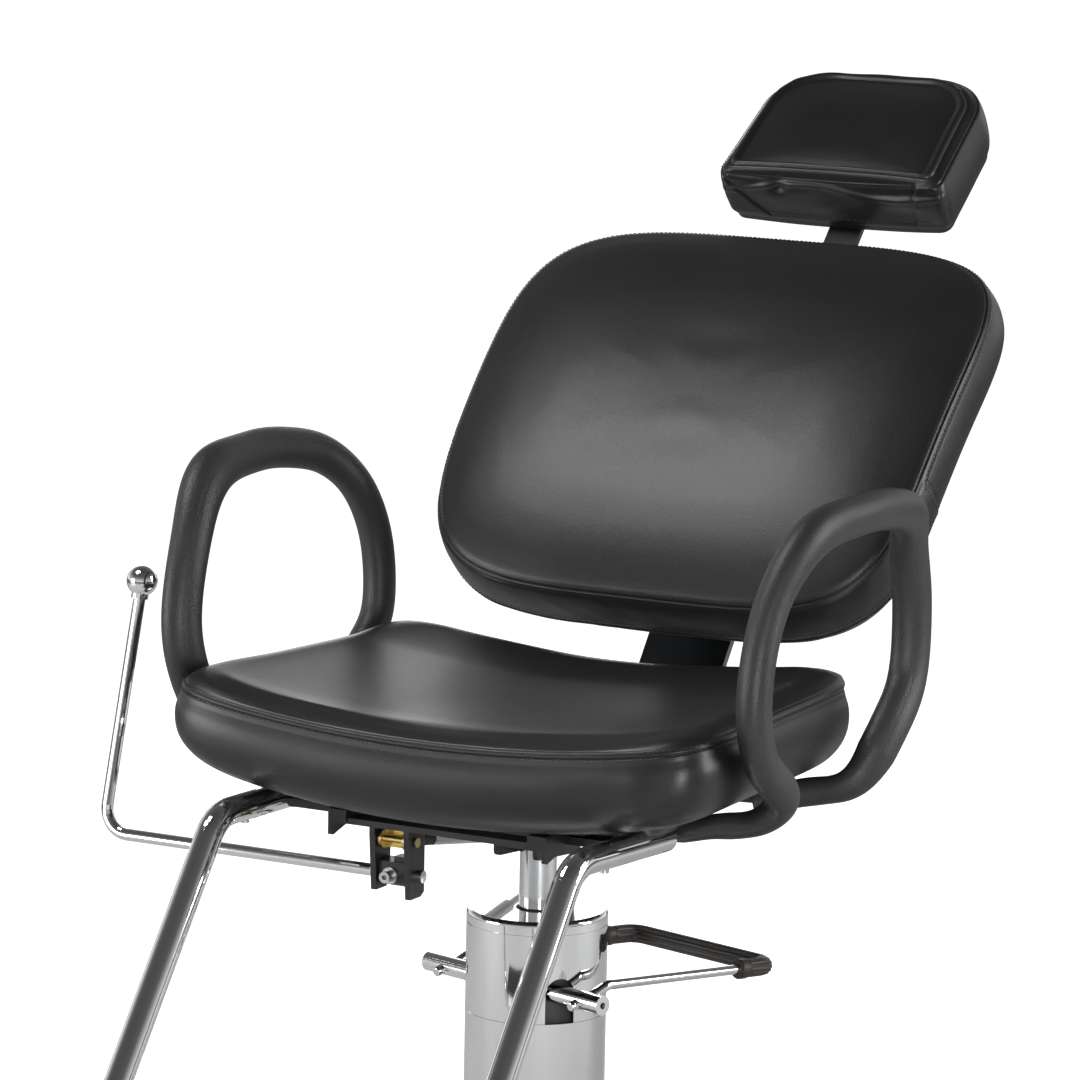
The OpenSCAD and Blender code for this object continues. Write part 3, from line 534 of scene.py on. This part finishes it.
def lumps(points, seed, scale, octaves=3):
    """Smooth random field in -1..1 from a few fixed plane waves."""
    r = np.random.default_rng(seed)
    total = np.zeros(points.shape[:-1])
    for o in range(octaves):
        for _ in range(6):
            d = unit(r.normal(size=3)) * TAU / (scale / 1.9 ** o)
            total += np.sin(points @ d + r.uniform(0, TAU)) / 1.7 ** o
    return total / 9.0


# ---- seat --------------------------------------------------------------------

SEAT_MID = -28.0
SEAT_HW, SEAT_HD = 282.0, 220.0
SEAT_SEAM = 554.0


def seat_rise(x):
    return 34 * (x / SEAT_HW) ** 2


def seat_cushion():
    around = 160
    u, v = even_outline(9, SEAT_HW, SEAT_HD, around)

    def ring(inset, z, lift, scale=1.0):
        y = SEAT_MID + (SEAT_HD - inset) * v * scale
        x = (SEAT_HW - 0.08 * (y - SEAT_MID) - inset) * u * scale
        return np.stack([x, y, SEAT_SEAM + z + lift * seat_rise(x)], 1)

    profile = [(60, 8, 0.86, k, 0) for k in (0.04, 0.2, 0.36, 0.52, 0.66, 0.79, 0.9)]
    profile += [(i, z, lift, 1.0, 0) for i, z, lift in (
        (60, 8.6, 0.84), (46, 9.6, 0.82), (34, 10.8, 0.80), (25, 11.6, 0.79), (18, 11.2, 0.78),
        (12.5, 9.2, 0.77), (8.5, 6.2, 0.76))]
    profile += [(i, z, 0.75, 1.0, p) for i, z, p in (
        (6, 3.2, 0.6), (4.6, 0.6, 1), (3.8, -1.6, 1), (3.2, -3.8, 1), (2.8, -6, 1), (2.4, -8.2, 1),
        (2, -10.4, 1))]
    seam_row = len(profile) - 4
    profile += [(i, z, lift, 1.0, 0) for i, z, lift in (
        (1, -15, 0.78), (-0.5, -22, 0.82), (-1.5, -31, 0.87), (-1.5, -41, 0.92), (-0.5, -51, 0.96),
        (2, -60, 0.98), (6, -68, 1.0), (12, -75, 1.0), (20, -80, 0.98))]
    profile += [(30, -82.5, 0.95, 1.0, 1), (44, -83.5, 0.9, 1.0, 1), (60, -83, 0.8, 1.0, 1)]
    grid = np.array([ring(i, z, lift, k) for i, z, lift, k, _ in profile])
    pins = [p for *_, p in profile]
    grid = inflate(grid * MM, pins, 0.004, 12) / MM
    flat = [ring(60, -81, 0.0, k) for k in (0.92, 0.8, 0.6, 0.3, 0.05)]
    grid = np.concatenate([grid, flat])
    grid = upsample(grid, 4, 3)
    s = run_length(grid, seam_row * 4)
    n = grid_normals(grid)
    x, y, z = grid[..., 0], grid[..., 1], grid[..., 2]
    boxing = ease(s, 4, 20) * (1 - ease(s, 70, 92))
    front_right = np.exp(-((x - 236) / 15) ** 2 - ((y + 236) / 24) ** 2)
    crease = np.exp(-((x - 262) / 10) ** 2 - ((y + 205) / 26) ** 2)
    puff = np.exp(-((x - 190) / 26) ** 2 - ((y + 248) / 18) ** 2)
    off = boxing * (-3.2 * crease + 1.6 * front_right - 1.2 * puff * np.sin((z - 480) / 22))
    off += boxing * 0.7 * lumps(grid, 11, 190)
    top = 1 - ease(s, -30, -14)
    off += (1 - ease(s, -12, -1)) * 6.5 * ease(y, 60, 165)
    off += top * 0.8 * lumps(grid, 5, 260, 2)
    off += -1.3 * bumpf(s, 0, 1.0) + 0.55 * (ease(s, -7.4, -5.8) * (1 - ease(s, -1.6, -0.4)))
    off += -0.45 * bumpf(s, -8.0, 1.0)
    pucker = np.sin(np.arange(grid.shape[1]) * TAU / grid.shape[1] * 210)[None, :]
    off += 0.16 * pucker * (bumpf(s, -4.6, 2.2) + 0.6 * bumpf(s, 2.6, 2.0))
    grid = grid + n * off[..., None]
    verts, faces = capped(grid)
    o = make_mesh("seat_cushion_cover", verts * MM, faces, VINYL)
    n = grid_normals(grid)
    s = run_length(grid, seam_row * 4)
    p, q = line_on(grid, n, s, 1.0)
    low = threads("seat_stitch_low", p, q, 5.2, 3.9, 0.5, THREAD, 0.0, True)
    p, q = line_on(grid, n, s, -5.6)
    high = threads("seat_stitch_high", p, q, 5.2, 3.6, 0.42, THREAD_PAINTED_LIT, 0.12, True)
    return [o, low, high]


# ---- backrest ----------------------------------------------------------------

LEAN = math.radians(43.5)
BACK_ORIGIN = np.array([0, 338.0, 816.0])
BACK_Y = np.array([0, math.cos(LEAN), -math.sin(LEAN)])
BACK_Z = np.array([0, math.sin(LEAN), math.cos(LEAN)])
BACK_HW, BACK_HH = 275.0, 241.0


def from_back(local):
    """Points of the back's own frame (x across, y to the rear, z up the lean) in the chair's frame."""
    local = np.asarray(local, float)
    return (BACK_ORIGIN + local[..., :1] * np.array([1.0, 0, 0]) + local[..., 1:2] * BACK_Y
            + local[..., 2:3] * BACK_Z)


def turn_back(v):
    return v[..., :1] * np.array([1.0, 0, 0]) + v[..., 1:2] * BACK_Y + v[..., 2:3] * BACK_Z


def bow(z):
    return np.where(z > 0, 37, 25) * (z / 250) ** 2


def back_ring(u, v, inset, y, bowed=1.0, scale=1.0):
    """Outline of the back at depth y, a little wider and taller toward its top."""
    z = (BACK_HH + np.where(v > 0, 4, -3) - inset) * v * scale
    return np.stack([(BACK_HW + 0.022 * z - inset) * u * scale, y + bowed * bow(z), z], 1)


HEM_Z = -66.0


def back_cushion():
    around = 176
    u, v = even_outline(4.3, BACK_HW, BACK_HH, around)

    def ring(inset, y, bowed=1.0, scale=1.0):
        y = y + 3.8 if y < 4 else 6.6 + (y - 2.8) * 1.1
        return back_ring(u, v, inset, y, bowed, scale)

    profile = [(100, -23.5, k, 0) for k in (0.05, 0.25, 0.45, 0.65, 0.85)]
    profile += [(i, y, 1.0, 0) for i, y in (
        (100, -23), (72, -21.5), (52, -19.5), (37, -17), (26, -14.5), (18, -12))]
    profile += [(i, y, 1.0, p) for i, y, p in (
        (13, -9.8, 0.4), (10, -8.2, 1), (8, -6.8, 1), (6.3, -5.2, 1), (4.9, -3.2, 1), (3.8, -1.2, 1),
        (3, 0.8, 1), (2.4, 2.8, 1))]
    seam_row = len(profile) - 4
    profile += [(i, y, 1.0, 0) for i, y in ((1.2, 8), (0, 15), (-0.8, 23), (-0.8, 31), (0, 39))]
    profile += [(i, y, 1.0, p) for i, y, p in (
        (1.0, 44, 0.5), (2.2, 47.5, 1), (3.4, 50, 1), (4.8, 52.4, 1), (6.6, 54.6, 1), (9, 56.6, 1),
        (13, 59, 1), (20, 62, 1), (32, 66, 1))]
    grid = np.array([ring(i, y, 1.0, k) for i, y, k, _ in profile])
    grid = inflate(grid * MM, [p for *_, p in profile], 0.004, 8) / MM
    inner = [ring(34, 71, 1.0, k) for k in (0.95, 0.7, 0.4, 0.05)]
    grid = upsample(np.concatenate([grid, inner]), 4, 3)
    s = run_length(grid, seam_row * 4)
    n = grid_normals(grid)
    x, z = grid[..., 0], grid[..., 2]
    below = 1 - ease(z, HEM_Z - 1.5, HEM_Z + 1.5)
    side = ease(s, 2, 8) * (1 - ease(s, 56, 64))
    off = -1.3 * bumpf(s, 0, 1.0)
    off += 0.5 * ease(s, 0.4, 1.4) * (1 - ease(s, 8.5, 9.6)) * (1 - below)
    off += -0.4 * bumpf(s, 10.2, 1.0) * (1 - below)
    rear = s - 50
    off += -1.1 * bumpf(rear, 0, 1.1) * below + 0.4 * below * bumpf(rear, 4.5, 2.4)
    hem = z - HEM_Z
    off += side * (-1.2 * bumpf(hem, 0, 1.3) + 0.7 * bumpf(hem, -4, 2.6) + 0.5 * bumpf(hem, 5, 2.4))
    off += side * below * (0.9 + 1.1 * lumps(grid, 23, 70))
    off += side * (1 - below) * 0.5 * lumps(grid, 7, 160)
    front = 1 - ease(s, -40, -18)
    off += front * 1.0 * lumps(grid, 31, 330, 2)
    pucker = np.sin(np.arange(grid.shape[1]) * TAU / grid.shape[1] * 230)[None, :]
    off += 0.14 * pucker * (bumpf(s, -3.4, 2.0) + bumpf(s, 5.0, 2.4))
    grid = grid + n * off[..., None]
    verts, faces = capped(grid)
    o = make_mesh("backrest_cushion", from_back(verts) * MM, faces, VINYL_BACK)
    n = grid_normals(grid)
    s = run_length(grid, seam_row * 4)

    def row(name, at, keep, material, lift, pitch=5.0, long=3.7):
        p, q = line_on(grid, n, s, at)
        picks = keep(p)
        if picks.all():
            return [threads(name, from_back(p), turn_back(q), pitch, long, 0.45, material, lift, True)]
        start = int(np.argmax(~picks))
        order = np.roll(np.arange(len(p)), -start)
        p, q, picks = p[order], q[order], picks[order]
        p, q = p[picks], q[picks]
        return [threads(name, from_back(p), turn_back(q), pitch, long, 0.45, material, lift)]

    everywhere = lambda p: np.ones(len(p), bool)
    made = [o]
    made += row("backrest_stitch_front", -3.2, everywhere, THREAD, 0.08)
    made += row("backrest_stitch_side", 7.2, lambda p: p[:, 2] > HEM_Z + 4, THREAD, 0.08)
    made += row("backrest_stitch_band_a", 45.6, lambda p: p[:, 2] < HEM_Z - 6, THREAD_PAINTED_LIT, 0.1)
    made += row("backrest_stitch_band_b", 53.6, lambda p: p[:, 2] < HEM_Z - 6, THREAD, 0.06)
    for sign, label in ((1, "left"), (-1, "right")):
        for k, above in enumerate((-5.4, 5.2)):
            column = []
            for i in range(grid.shape[0]):
                if not 9 < s[i].mean() < 50:
                    continue
                pick = np.where(np.sign(grid[i, :, 0]) == sign)[0]
                j = pick[np.argmin(np.abs(grid[i, pick, 2] - HEM_Z - above))]
                column.append((grid[i, j], n[i, j]))
            p = np.array([c[0] for c in column])
            q = np.array([c[1] for c in column])
            p[:, 2] = HEM_Z + above
            made.append(threads(f"backrest_hem_{label}_{k}", from_back(p), turn_back(q), 5.0, 3.7, 0.42,
                                THREAD, 0.1))
    return made


def back_shell():
    """Upholstered rear of the backrest, crowned and sewn on close inside the cushion's edge."""
    around = 176
    u, v = even_outline(4.3, BACK_HW, BACK_HH, around)

    def ring(inset, y, bowed, scale=1.0):
        return back_ring(u, v, inset, y, bowed, scale)

    rows = [ring(40, 73, 1, 0.05), ring(40, 73, 1, 0.5), ring(40, 72.6, 1), ring(24, 70.5, 1),
            ring(22, 69, 1), ring(17, 69.5, 1), ring(14.6, 72, 1), ring(14, 75, 1), ring(15, 78.5, 0.98),
            ring(18, 82, 0.95), ring(24, 86, 0.9), ring(34, 90.5, 0.84), ring(50, 95.5, 0.72),
            ring(70, 100.5, 0.55), ring(95, 105, 0.35), ring(120, 108.5, 0.15), ring(150, 110.5, 0.0)]
    rows += [ring(150, 110.8, 0, k) for k in (0.7, 0.4, 0.08)]
    grid = upsample(np.array(rows), 4, 2)
    seam = 9 * 4
    s = run_length(grid, seam)
    n = grid_normals(grid)
    off = -1.0 * bumpf(s, 0, 1.2) + 0.4 * bumpf(s, 5, 3)
    off += ease(s, 6, 30) * 1.2 * lumps(grid, 41, 150)
    grid = grid + n * off[..., None]
    verts, faces = capped(grid)
    o = make_mesh("backrest_rear_shell", from_back(verts) * MM, faces, VINYL_BACK)
    n = grid_normals(grid)
    p, q = line_on(grid, n, s, 4.4)
    return [o, threads("backrest_stitch_rear", from_back(p), turn_back(q), 5.4, 4.0, 0.45, THREAD, 0.1, True)]


# ---- headrest ----------------------------------------------------------------

HEAD_MID = 415.0
HEAD_PIVOT = np.array([0, 96.0, 415.0])
HEAD_TILT = math.radians(-11.7)


def head_outline(count):
    """Outline of the pad in the back's frame: square lower corners, round upper ones."""
    def arc(cx, cz, r, a, b, k):
        t = np.radians(np.linspace(a, b, k))
        return [(cx + r * math.cos(q), 0, cz + r * math.sin(q)) for q in t]
    lower, upper = (123, 346, 11), (58.5, 450, 72.3)
    points = [(0, 0, 336.0), (60, 0, 335.6)]
    points += arc(*lower, -82, 8, 8) + arc(*upper, 12, 86, 16)
    points += [(32, 0, 522.0), (0, 0, 522.4)]
    right = np.array(points, float)
    left = right[::-1][1:-1] * np.array([-1, 1, 1])
    return resample(smooth_closed(resample(np.vstack([right, left]), 720, True), 14), count, True)


def smooth_closed(p, rounds):
    for _ in range(rounds):
        p = 0.25 * np.roll(p, 1, 0) + 0.5 * p + 0.25 * np.roll(p, -1, 0)
    return p


def headrest():
    around = 168
    line = head_outline(around)

    def ring(k, y):
        x = line[:, 0] * k
        if k < 0.93:
            dome = (1 - np.abs(x / 133) ** 2.4) * (1 - np.abs((line[:, 2] - HEAD_MID) * k / 96) ** 2.4)
            y = 78.5 - 15 * dome
        else:
            y = 77 + (y - 68) * 1.24
        y = y - HEAD_PIVOT[1] - 0.0003 * x ** 2
        z = HEAD_MID + (line[:, 2] - HEAD_MID) * k - HEAD_PIVOT[2] + 1.8
        c, s = math.cos(HEAD_TILT), math.sin(HEAD_TILT)
        return HEAD_PIVOT + np.stack([x, y * c - z * s, y * s + z * c], 1)

    profile = [(k, y, 0) for k, y in (
        (0.04, 57), (0.2, 57.2), (0.38, 57.8), (0.54, 59), (0.68, 60.8), (0.79, 63), (0.87, 65.6))]
    profile += [(k, y, p) for k, y, p in (
        (0.92, 68, 0.5), (0.95, 70, 1), (0.97, 72, 1), (0.985, 74.4, 1), (0.993, 77, 1))]
    seam_row = len(profile) - 3
    profile += [(k, y, 0) for k, y in ((1.0, 82), (1.004, 89), (1.004, 97), (1.0, 105), (0.993, 111))]
    profile += [(k, y, 1) for k, y in ((0.982, 115.5), (0.965, 118.5), (0.94, 120.8), (0.9, 122.4), (0.8, 123.4))]
    grid = np.array([ring(k, y) for k, y, _ in profile])
    grid = inflate(grid * MM, [p for *_, p in profile], 0.004, 14) / MM
    rear = [ring(k, 124.2) for k in (0.7, 0.45, 0.2, 0.04)]
    grid = upsample(np.concatenate([grid, rear]), 5, 3)
    s = run_length(grid, seam_row * 5)
    n = grid_normals(grid)
    x, y, z = grid[..., 0], grid[..., 1], grid[..., 2]
    under = ease(-n[..., 2], 0.35, 0.8) * ease(s, -6, 2) * (1 - ease(y, 112, 121))
    sides = 1 - ease(-n[..., 2], 0.1, 0.5)
    # gathered cloth under the front edge: slack waves that run across the pad
    wave = lumps(np.stack([x * 0.42, y * 1.25, z], -1), 3, 44, 2)
    sag = np.sin(x / 23 + 0.9) * np.exp(-((y - 84) / 13) ** 2)
    off = under * (2.6 * wave - 1.6 * sag - 1.0)
    ridge_y = 74 + 5 * np.sin(x / 31) + 0.05 * np.abs(x)
    off += under * 2.2 * bumpf(y, ridge_y, 3.2)
    notch = np.exp(-((x + 62) / 9) ** 2 - ((y - 76) / 8) ** 2)
    off -= 4.0 * notch * (z < 380)
    # folded corners: a flap of cloth that ends on a slanting edge
    for sign, x0, slope in ((1, 101, 0.18), (-1, 122, 0.95)):
        edge = x0 - slope * (y - 76)
        gap = sign * x - edge
        off += under * (1.7 * ease(gap, -1.0, 0.6) - 0.9 * bumpf(gap, -2.2, 1.8))
    seam = -1.0 * bumpf(s, 0, 1.0) + 0.35 * bumpf(s, 3.2, 2.0)
    off += sides * seam
    off += (1 - under) * 0.5 * lumps(grid, 17, 120, 2)
    grid = grid + n * off[..., None]
    verts, faces = capped(grid)
    o = make_mesh("headrest_cushion", from_back(verts) * MM, faces, VINYL_HEAD)
    n = grid_normals(grid)
    s = run_length(grid, seam_row * 5)
    made = [o]
    p, q = line_on(grid, n, s, 2.6)
    for sign, label in ((1, "left"), (-1, "right")):
        pick = (np.sign(p[:, 0]) == sign) & (p[:, 2] > 352) & (p[:, 2] < 482)
        start = int(np.argmax(~pick))
        order = np.roll(np.arange(len(p)), -start)
        keep = order[pick[order]]
        made.append(threads(f"headrest_stitch_{label}", from_back(p[keep]), turn_back(q[keep]), 4.2, 2.8,
                            0.42, THREAD_PAINTED_LIT, 0.15))
    p, q = line_on(grid, n, s, 50.0)
    pick = (p[:, 2] < 350) & (np.abs(p[:, 0]) < 112)
    start = int(np.argmax(~pick))
    order = np.roll(np.arange(len(p)), -start)
    keep = order[pick[order]]
    made.append(threads("headrest_stitch_under", from_back(p[keep]), turn_back(q[keep]), 7.5, 5.0, 0.5,
                        THREAD_PAINTED_LIT, 0.2))
    return made


# ---- arms --------------------------------------------------------------------

# The arm's centre line, the same as in the part's source. These points came from a separate fitting program and
# were rounded; only those at the two feet were changed by hand.
ARM_POINTS = [
    (190, -95, 464), (236, -95, 476), (286, -87, 484), (314, -92, 514), (313, -143, 556),
    (316, -166, 624), (320, -143, 706), (333, -89, 764), (341, 6, 775), (339, 73, 771),
    (331, 134, 756), (314, 172, 720), (307, 200, 659), (305, 200, 584), (306, 159, 541),
    (288, 120, 487), (242, 112, 474), (190, 92, 462)]
ARM_MID = np.array([320.0, 20.0, 640.0])
ARM_SHOULDER = np.array([332.0, -86.0, 750.0])
ARM_LONG, ARM_SHORT, ARM_TURN = 21.6, 17.1, 1.17


def arm(side, label):
    """Moulded loop: an oval section, longest toward the outside of the loop, with a faint parting line."""
    path = smooth_path(resample(spline(ARM_POINTS, 24), 420), 40)
    t = unit(np.gradient(path, axis=0))
    out = unit(np.array([1.0, 0, 0]) - t * t[:, :1])
    rim = np.cross(t, out)
    rim *= np.sign(np.median(((path - ARM_MID) * rim).sum(1)))
    c, s = math.cos(ARM_TURN), math.sin(ARM_TURN)
    long, short = c * out + s * rim, c * rim - s * out
    ang = np.arange(72) * TAU / 72
    ends = 1 - 0.25 * (1 - ease(np.arange(420), 0, 9) * (1 - ease(np.arange(420), 410, 419)))
    ends = ends * (0.62 + 0.38 * np.clip((path[:, 2] - 464) / 51, 0, 1))
    ends += 0.17 * np.exp(-((path - ARM_SHOULDER) ** 2).sum(1) / 46 ** 2)
    part = 1 - 0.02 * (bumpf(ang, 1.2, 0.05) + bumpf(ang, 1.2 + math.pi, 0.05))
    grid = (path[:, None] + (ends[:, None] * np.cos(ang) * part)[..., None] * ARM_LONG * long[:, None]
            + (ends[:, None] * np.sin(ang) * part)[..., None] * ARM_SHORT * short[:, None])
    grid = grid + grid_normals(grid) * (0.35 * lumps(grid, 61, 120, 2))[..., None]
    grid[..., 0] *= side
    verts, faces = capped(grid)
    return [make_mesh(f"arm_loop_{label}", verts * MM, faces, FOAM)]


# ---- pedal -------------------------------------------------------------------

SHAFT_TURN = math.radians(-16)
SHAFT_MID = np.array([30.6 * math.sin(SHAFT_TURN), -30.6 * math.cos(SHAFT_TURN), 275.0])


def from_shaft(p):
    p = np.asarray(p, float)
    c, s = math.cos(SHAFT_TURN), math.sin(SHAFT_TURN)
    return np.stack([p[..., 0] * c - p[..., 1] * s, p[..., 0] * s + p[..., 1] * c, p[..., 2]], -1) + SHAFT_MID


def rounded(points, bend, steps=10):
    p = np.asarray(points, float)
    out = [p[0]]
    for a, b, c in zip(p[:-2], p[1:-1], p[2:]):
        d1, d2 = unit(b - a), unit(c - b)
        turn = math.acos(np.clip(d1 @ d2, -1, 1))
        centre = b + unit(d2 - d1) * bend / math.cos(turn / 2)
        ex = unit(b - d1 * bend * math.tan(turn / 2) - centre)
        for k in range(steps + 1):
            q = turn * k / steps
            out.append(centre + bend * (math.cos(q) * ex + math.sin(q) * d1))
    return np.array(out + [p[-1]])


def pedal():
    hw, reach, near = 94.0, 272.0, 10.0
    far = near - reach * math.tan(math.radians(8.5)) + 22
    legs = [(-hw, -15.75, -3.4), (-hw, 12, 2), (-hw, 36, near), (-hw, reach, far),
            (hw, reach, far), (hw, 36, near), (hw, 12, 2), (hw, -15.75, -3.4)]
    rod = tube("pedal_rod_bent", from_shaft(resample(rounded(legs, 12), 260)), 5.0, 32, CHROME)
    p = np.array(legs)
    back = unit(p[2] - p[3])
    path = resample(rounded([p[3] + 46 * back, p[3], p[4], p[4] + 46 * back], 14, 14), 330)
    along = np.linspace(0, 1, len(path))
    total = np.linalg.norm(np.diff(path, axis=0), axis=1).sum()
    d = np.minimum(along, 1 - along) * total
    collar = 1 + 0.13 * (1 - ease(d, 7.5, 9.0)) - 0.05 * bumpf(d, 10.5, 1.2)

    def ribs(i, ang):
        on = ease(d[i], 11, 14)
        return collar[i] * (1 + on * 0.045 * np.cos(14 * ang))

    sleeve = tube("pedal_sleeve_ribbed", from_shaft(path), 9.1, 112, RUBBER_BROWN, ribs, round_end=0.2)
    return [rod], [sleeve]


# ---- lock spring -------------------------------------------------------------

def lock_spring():
    tilt = math.radians(9.3)
    ahead = np.array([0, math.cos(tilt), -math.sin(tilt)])
    over = np.array([0, math.sin(tilt), math.cos(tilt)])
    across = np.array([1.0, 0, 0])
    start = np.array([-103.5, -105, 423.0])
    turns, first, last = 10.5, 31.6, 70.0
    t = np.linspace(0, 1, 360)
    a = t * turns * TAU
    path = (start + ahead * (first + (last - first) * t)[:, None]
            + 5.6 * (np.cos(a)[:, None] * across + np.sin(a)[:, None] * over))
    return tube("lock_coil_spring", path, 1.45, 12, BLACK_SATIN)


def ride_all(objects, body):
    for o in objects:
        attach(o, body)


seat_parts = seat_cushion()
ride_all(seat_parts, "seat")
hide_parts("seat_cushion")

back_parts = back_cushion()
ride_all(back_parts, "back")
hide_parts("back_cushion")

shell_parts = back_shell()
ride_all(shell_parts, "back")
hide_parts("back_shell")

head_parts = headrest()
ride_all(head_parts, "headrest")
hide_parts("headrest_pad")

for side, label in ((1, "left"), (-1, "right")):
    arm_parts = arm(side, label)
    ride_all(arm_parts, "seat")
    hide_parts(f"arm_{label}")

rod_parts, sleeve_parts = pedal()
ride_all(rod_parts, "pedal")
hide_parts("pedal_rod")
ride_all(sleeve_parts, "pedal")
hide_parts("pedal_sleeve")

spring = lock_spring()
ride_all([spring], "seat")
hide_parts("lock_coil")


# ---- floor, light and camera -------------------------------------------------

def floor():
    m, t, b = new_material("pale_floor")
    where = coords(t)
    t.links.new(ramp(t, noise(t, where, 3.0), [(0.3, grey(0.66)), (0.7, grey(0.70))]), b.inputs["Base Color"])
    b.inputs["Roughness"].default_value = 0.9
    b.inputs["Specular IOR Level"].default_value = 0.1
    b.inputs["Emission Color"].default_value = (1, 1, 1, 1)
    path = t.nodes.new("ShaderNodeLightPath")
    t.links.new(math_node(t, "MULTIPLY", path.outputs["Is Camera Ray"], 0.97), b.inputs["Emission Strength"])
    bpy.ops.mesh.primitive_plane_add(size=60, location=(0, 0, -0.0005))
    o = bpy.context.object
    o.name = "floor"
    o.data.materials.append(m)


def area(name, at, to, size, power, colour=(1, 1, 1), size_y=None):
    light = bpy.data.lights.new(name, "AREA")
    light.energy = power
    light.color = colour
    light.shape = "RECTANGLE"
    light.size, light.size_y = size, size_y or size
    o = bpy.data.objects.new(name, light)
    bpy.context.scene.collection.objects.link(o)
    o.location = at
    o.rotation_mode = "QUATERNION"
    o.rotation_quaternion = (Vector(to) - Vector(at)).to_track_quat("-Z", "Y")
    o.visible_camera = False
    return o


def world():
    w = bpy.data.worlds.new("studio")
    bpy.context.scene.world = w
    w.use_nodes = True
    t = w.node_tree
    background = t.nodes["Background"]
    where = t.nodes.new("ShaderNodeTexCoord").outputs["Generated"]

    def toward(direction):
        dot = t.nodes.new("ShaderNodeVectorMath")
        dot.operation = "DOT_PRODUCT"
        t.links.new(where, dot.inputs[0])
        dot.inputs[1].default_value = Vector(direction).normalized()
        return dot.outputs["Value"]

    behind = math_node(t, "ADD", math_node(t, "MULTIPLY", toward((-0.477, 0.879, 0.0)), 0.5), 0.5)
    light = ramp(t, behind, [(0.0, grey(0.60)), (0.42, grey(0.52)), (0.72, grey(0.70)), (1.0, grey(1.0))])
    low = ramp(t, toward((0, 0, 1)), [(0.0, grey(1.0)), (0.12, grey(0.88)), (0.3, grey(0.5)),
                                     (0.55, grey(0.16)), (1.0, grey(0.09))])
    for flag, edge in (((0.944, -0.33, 0), 0.992), ((-0.80, 0.60, 0), 0.994), ((-0.10, 0.995, 0), 0.994)):
        dark = ramp(t, toward(flag), [(edge, grey(1.0)), (edge + 0.002, grey(0.06))])
        light = math_node(t, "MULTIPLY", light, dark)
    mix = t.nodes.new("ShaderNodeMix")
    mix.data_type = "RGBA"
    mix.blend_type = "MULTIPLY"
    mix.inputs["Factor"].default_value = 1.0
    t.links.new(light, mix.inputs["A"])
    t.links.new(low, mix.inputs["B"])
    t.links.new(mix.outputs["Result"], background.inputs["Color"])
    background.inputs["Strength"].default_value = 1.2
    seen = t.nodes.new("ShaderNodeBackground")
    seen.inputs["Color"].default_value = (1, 1, 1, 1)
    seen.inputs["Strength"].default_value = 1.05
    switch = t.nodes.new("ShaderNodeMixShader")
    path = t.nodes.new("ShaderNodeLightPath")
    t.links.new(path.outputs["Is Camera Ray"], switch.inputs["Fac"])
    t.links.new(background.outputs["Background"], switch.inputs[1])
    t.links.new(seen.outputs["Background"], switch.inputs[2])
    t.links.new(switch.outputs["Shader"], t.nodes["World Output"].inputs["Surface"])


def camera():
    azimuth, elevation, roll = (math.radians(a) for a in (28.5, 9.5302, 1.0969))
    back = Vector((math.sin(azimuth) * math.cos(elevation), -math.cos(azimuth) * math.cos(elevation),
                   math.sin(elevation)))
    right = Vector((math.cos(azimuth), math.sin(azimuth), 0))
    up = back.cross(right)
    c, s = math.cos(roll), math.sin(roll)
    right, up = c * right + s * up, c * up - s * right
    cam = bpy.data.cameras.new("camera")
    cam.lens, cam.sensor_width = 186.667, 36
    cam.clip_start, cam.clip_end = 0.1, 100
    o = bpy.data.objects.new("camera", cam)
    bpy.context.scene.collection.objects.link(o)
    o.rotation_mode = "QUATERNION"
    m = Matrix((right, up, back)).transposed()
    o.rotation_quaternion = m.to_quaternion()
    o.location = (2.58816, -4.77606, 1.62975)
    bpy.context.scene.camera = o


floor()
world()
area("overhead_soft", (-1.15, -0.8, 2.85), (0, 0.1, 0.7), 0.95, 32)
area("right_soft", (2.3, 1.2, 1.3), (0.3, 0.2, 0.8), 0.8, 34, size_y=1.6)
area("left_soft", (-2.2, -2.0, 0.75), (0, 0, 0.6), 1.3, 36, size_y=1.1)
area("front_right_low", (1.6, -1.75, 0.62), (0.2, -0.2, 0.5), 0.3, 20, size_y=0.9)
area("rear_left_low", (-1.7, 2.7, 1.05), (0, -0.1, 0.6), 1.6, 9, size_y=0.9)
camera()

scene = bpy.context.scene
scene.view_settings.view_transform = "Standard"
scene.view_settings.look = "None"
scene.view_settings.exposure = 0.0
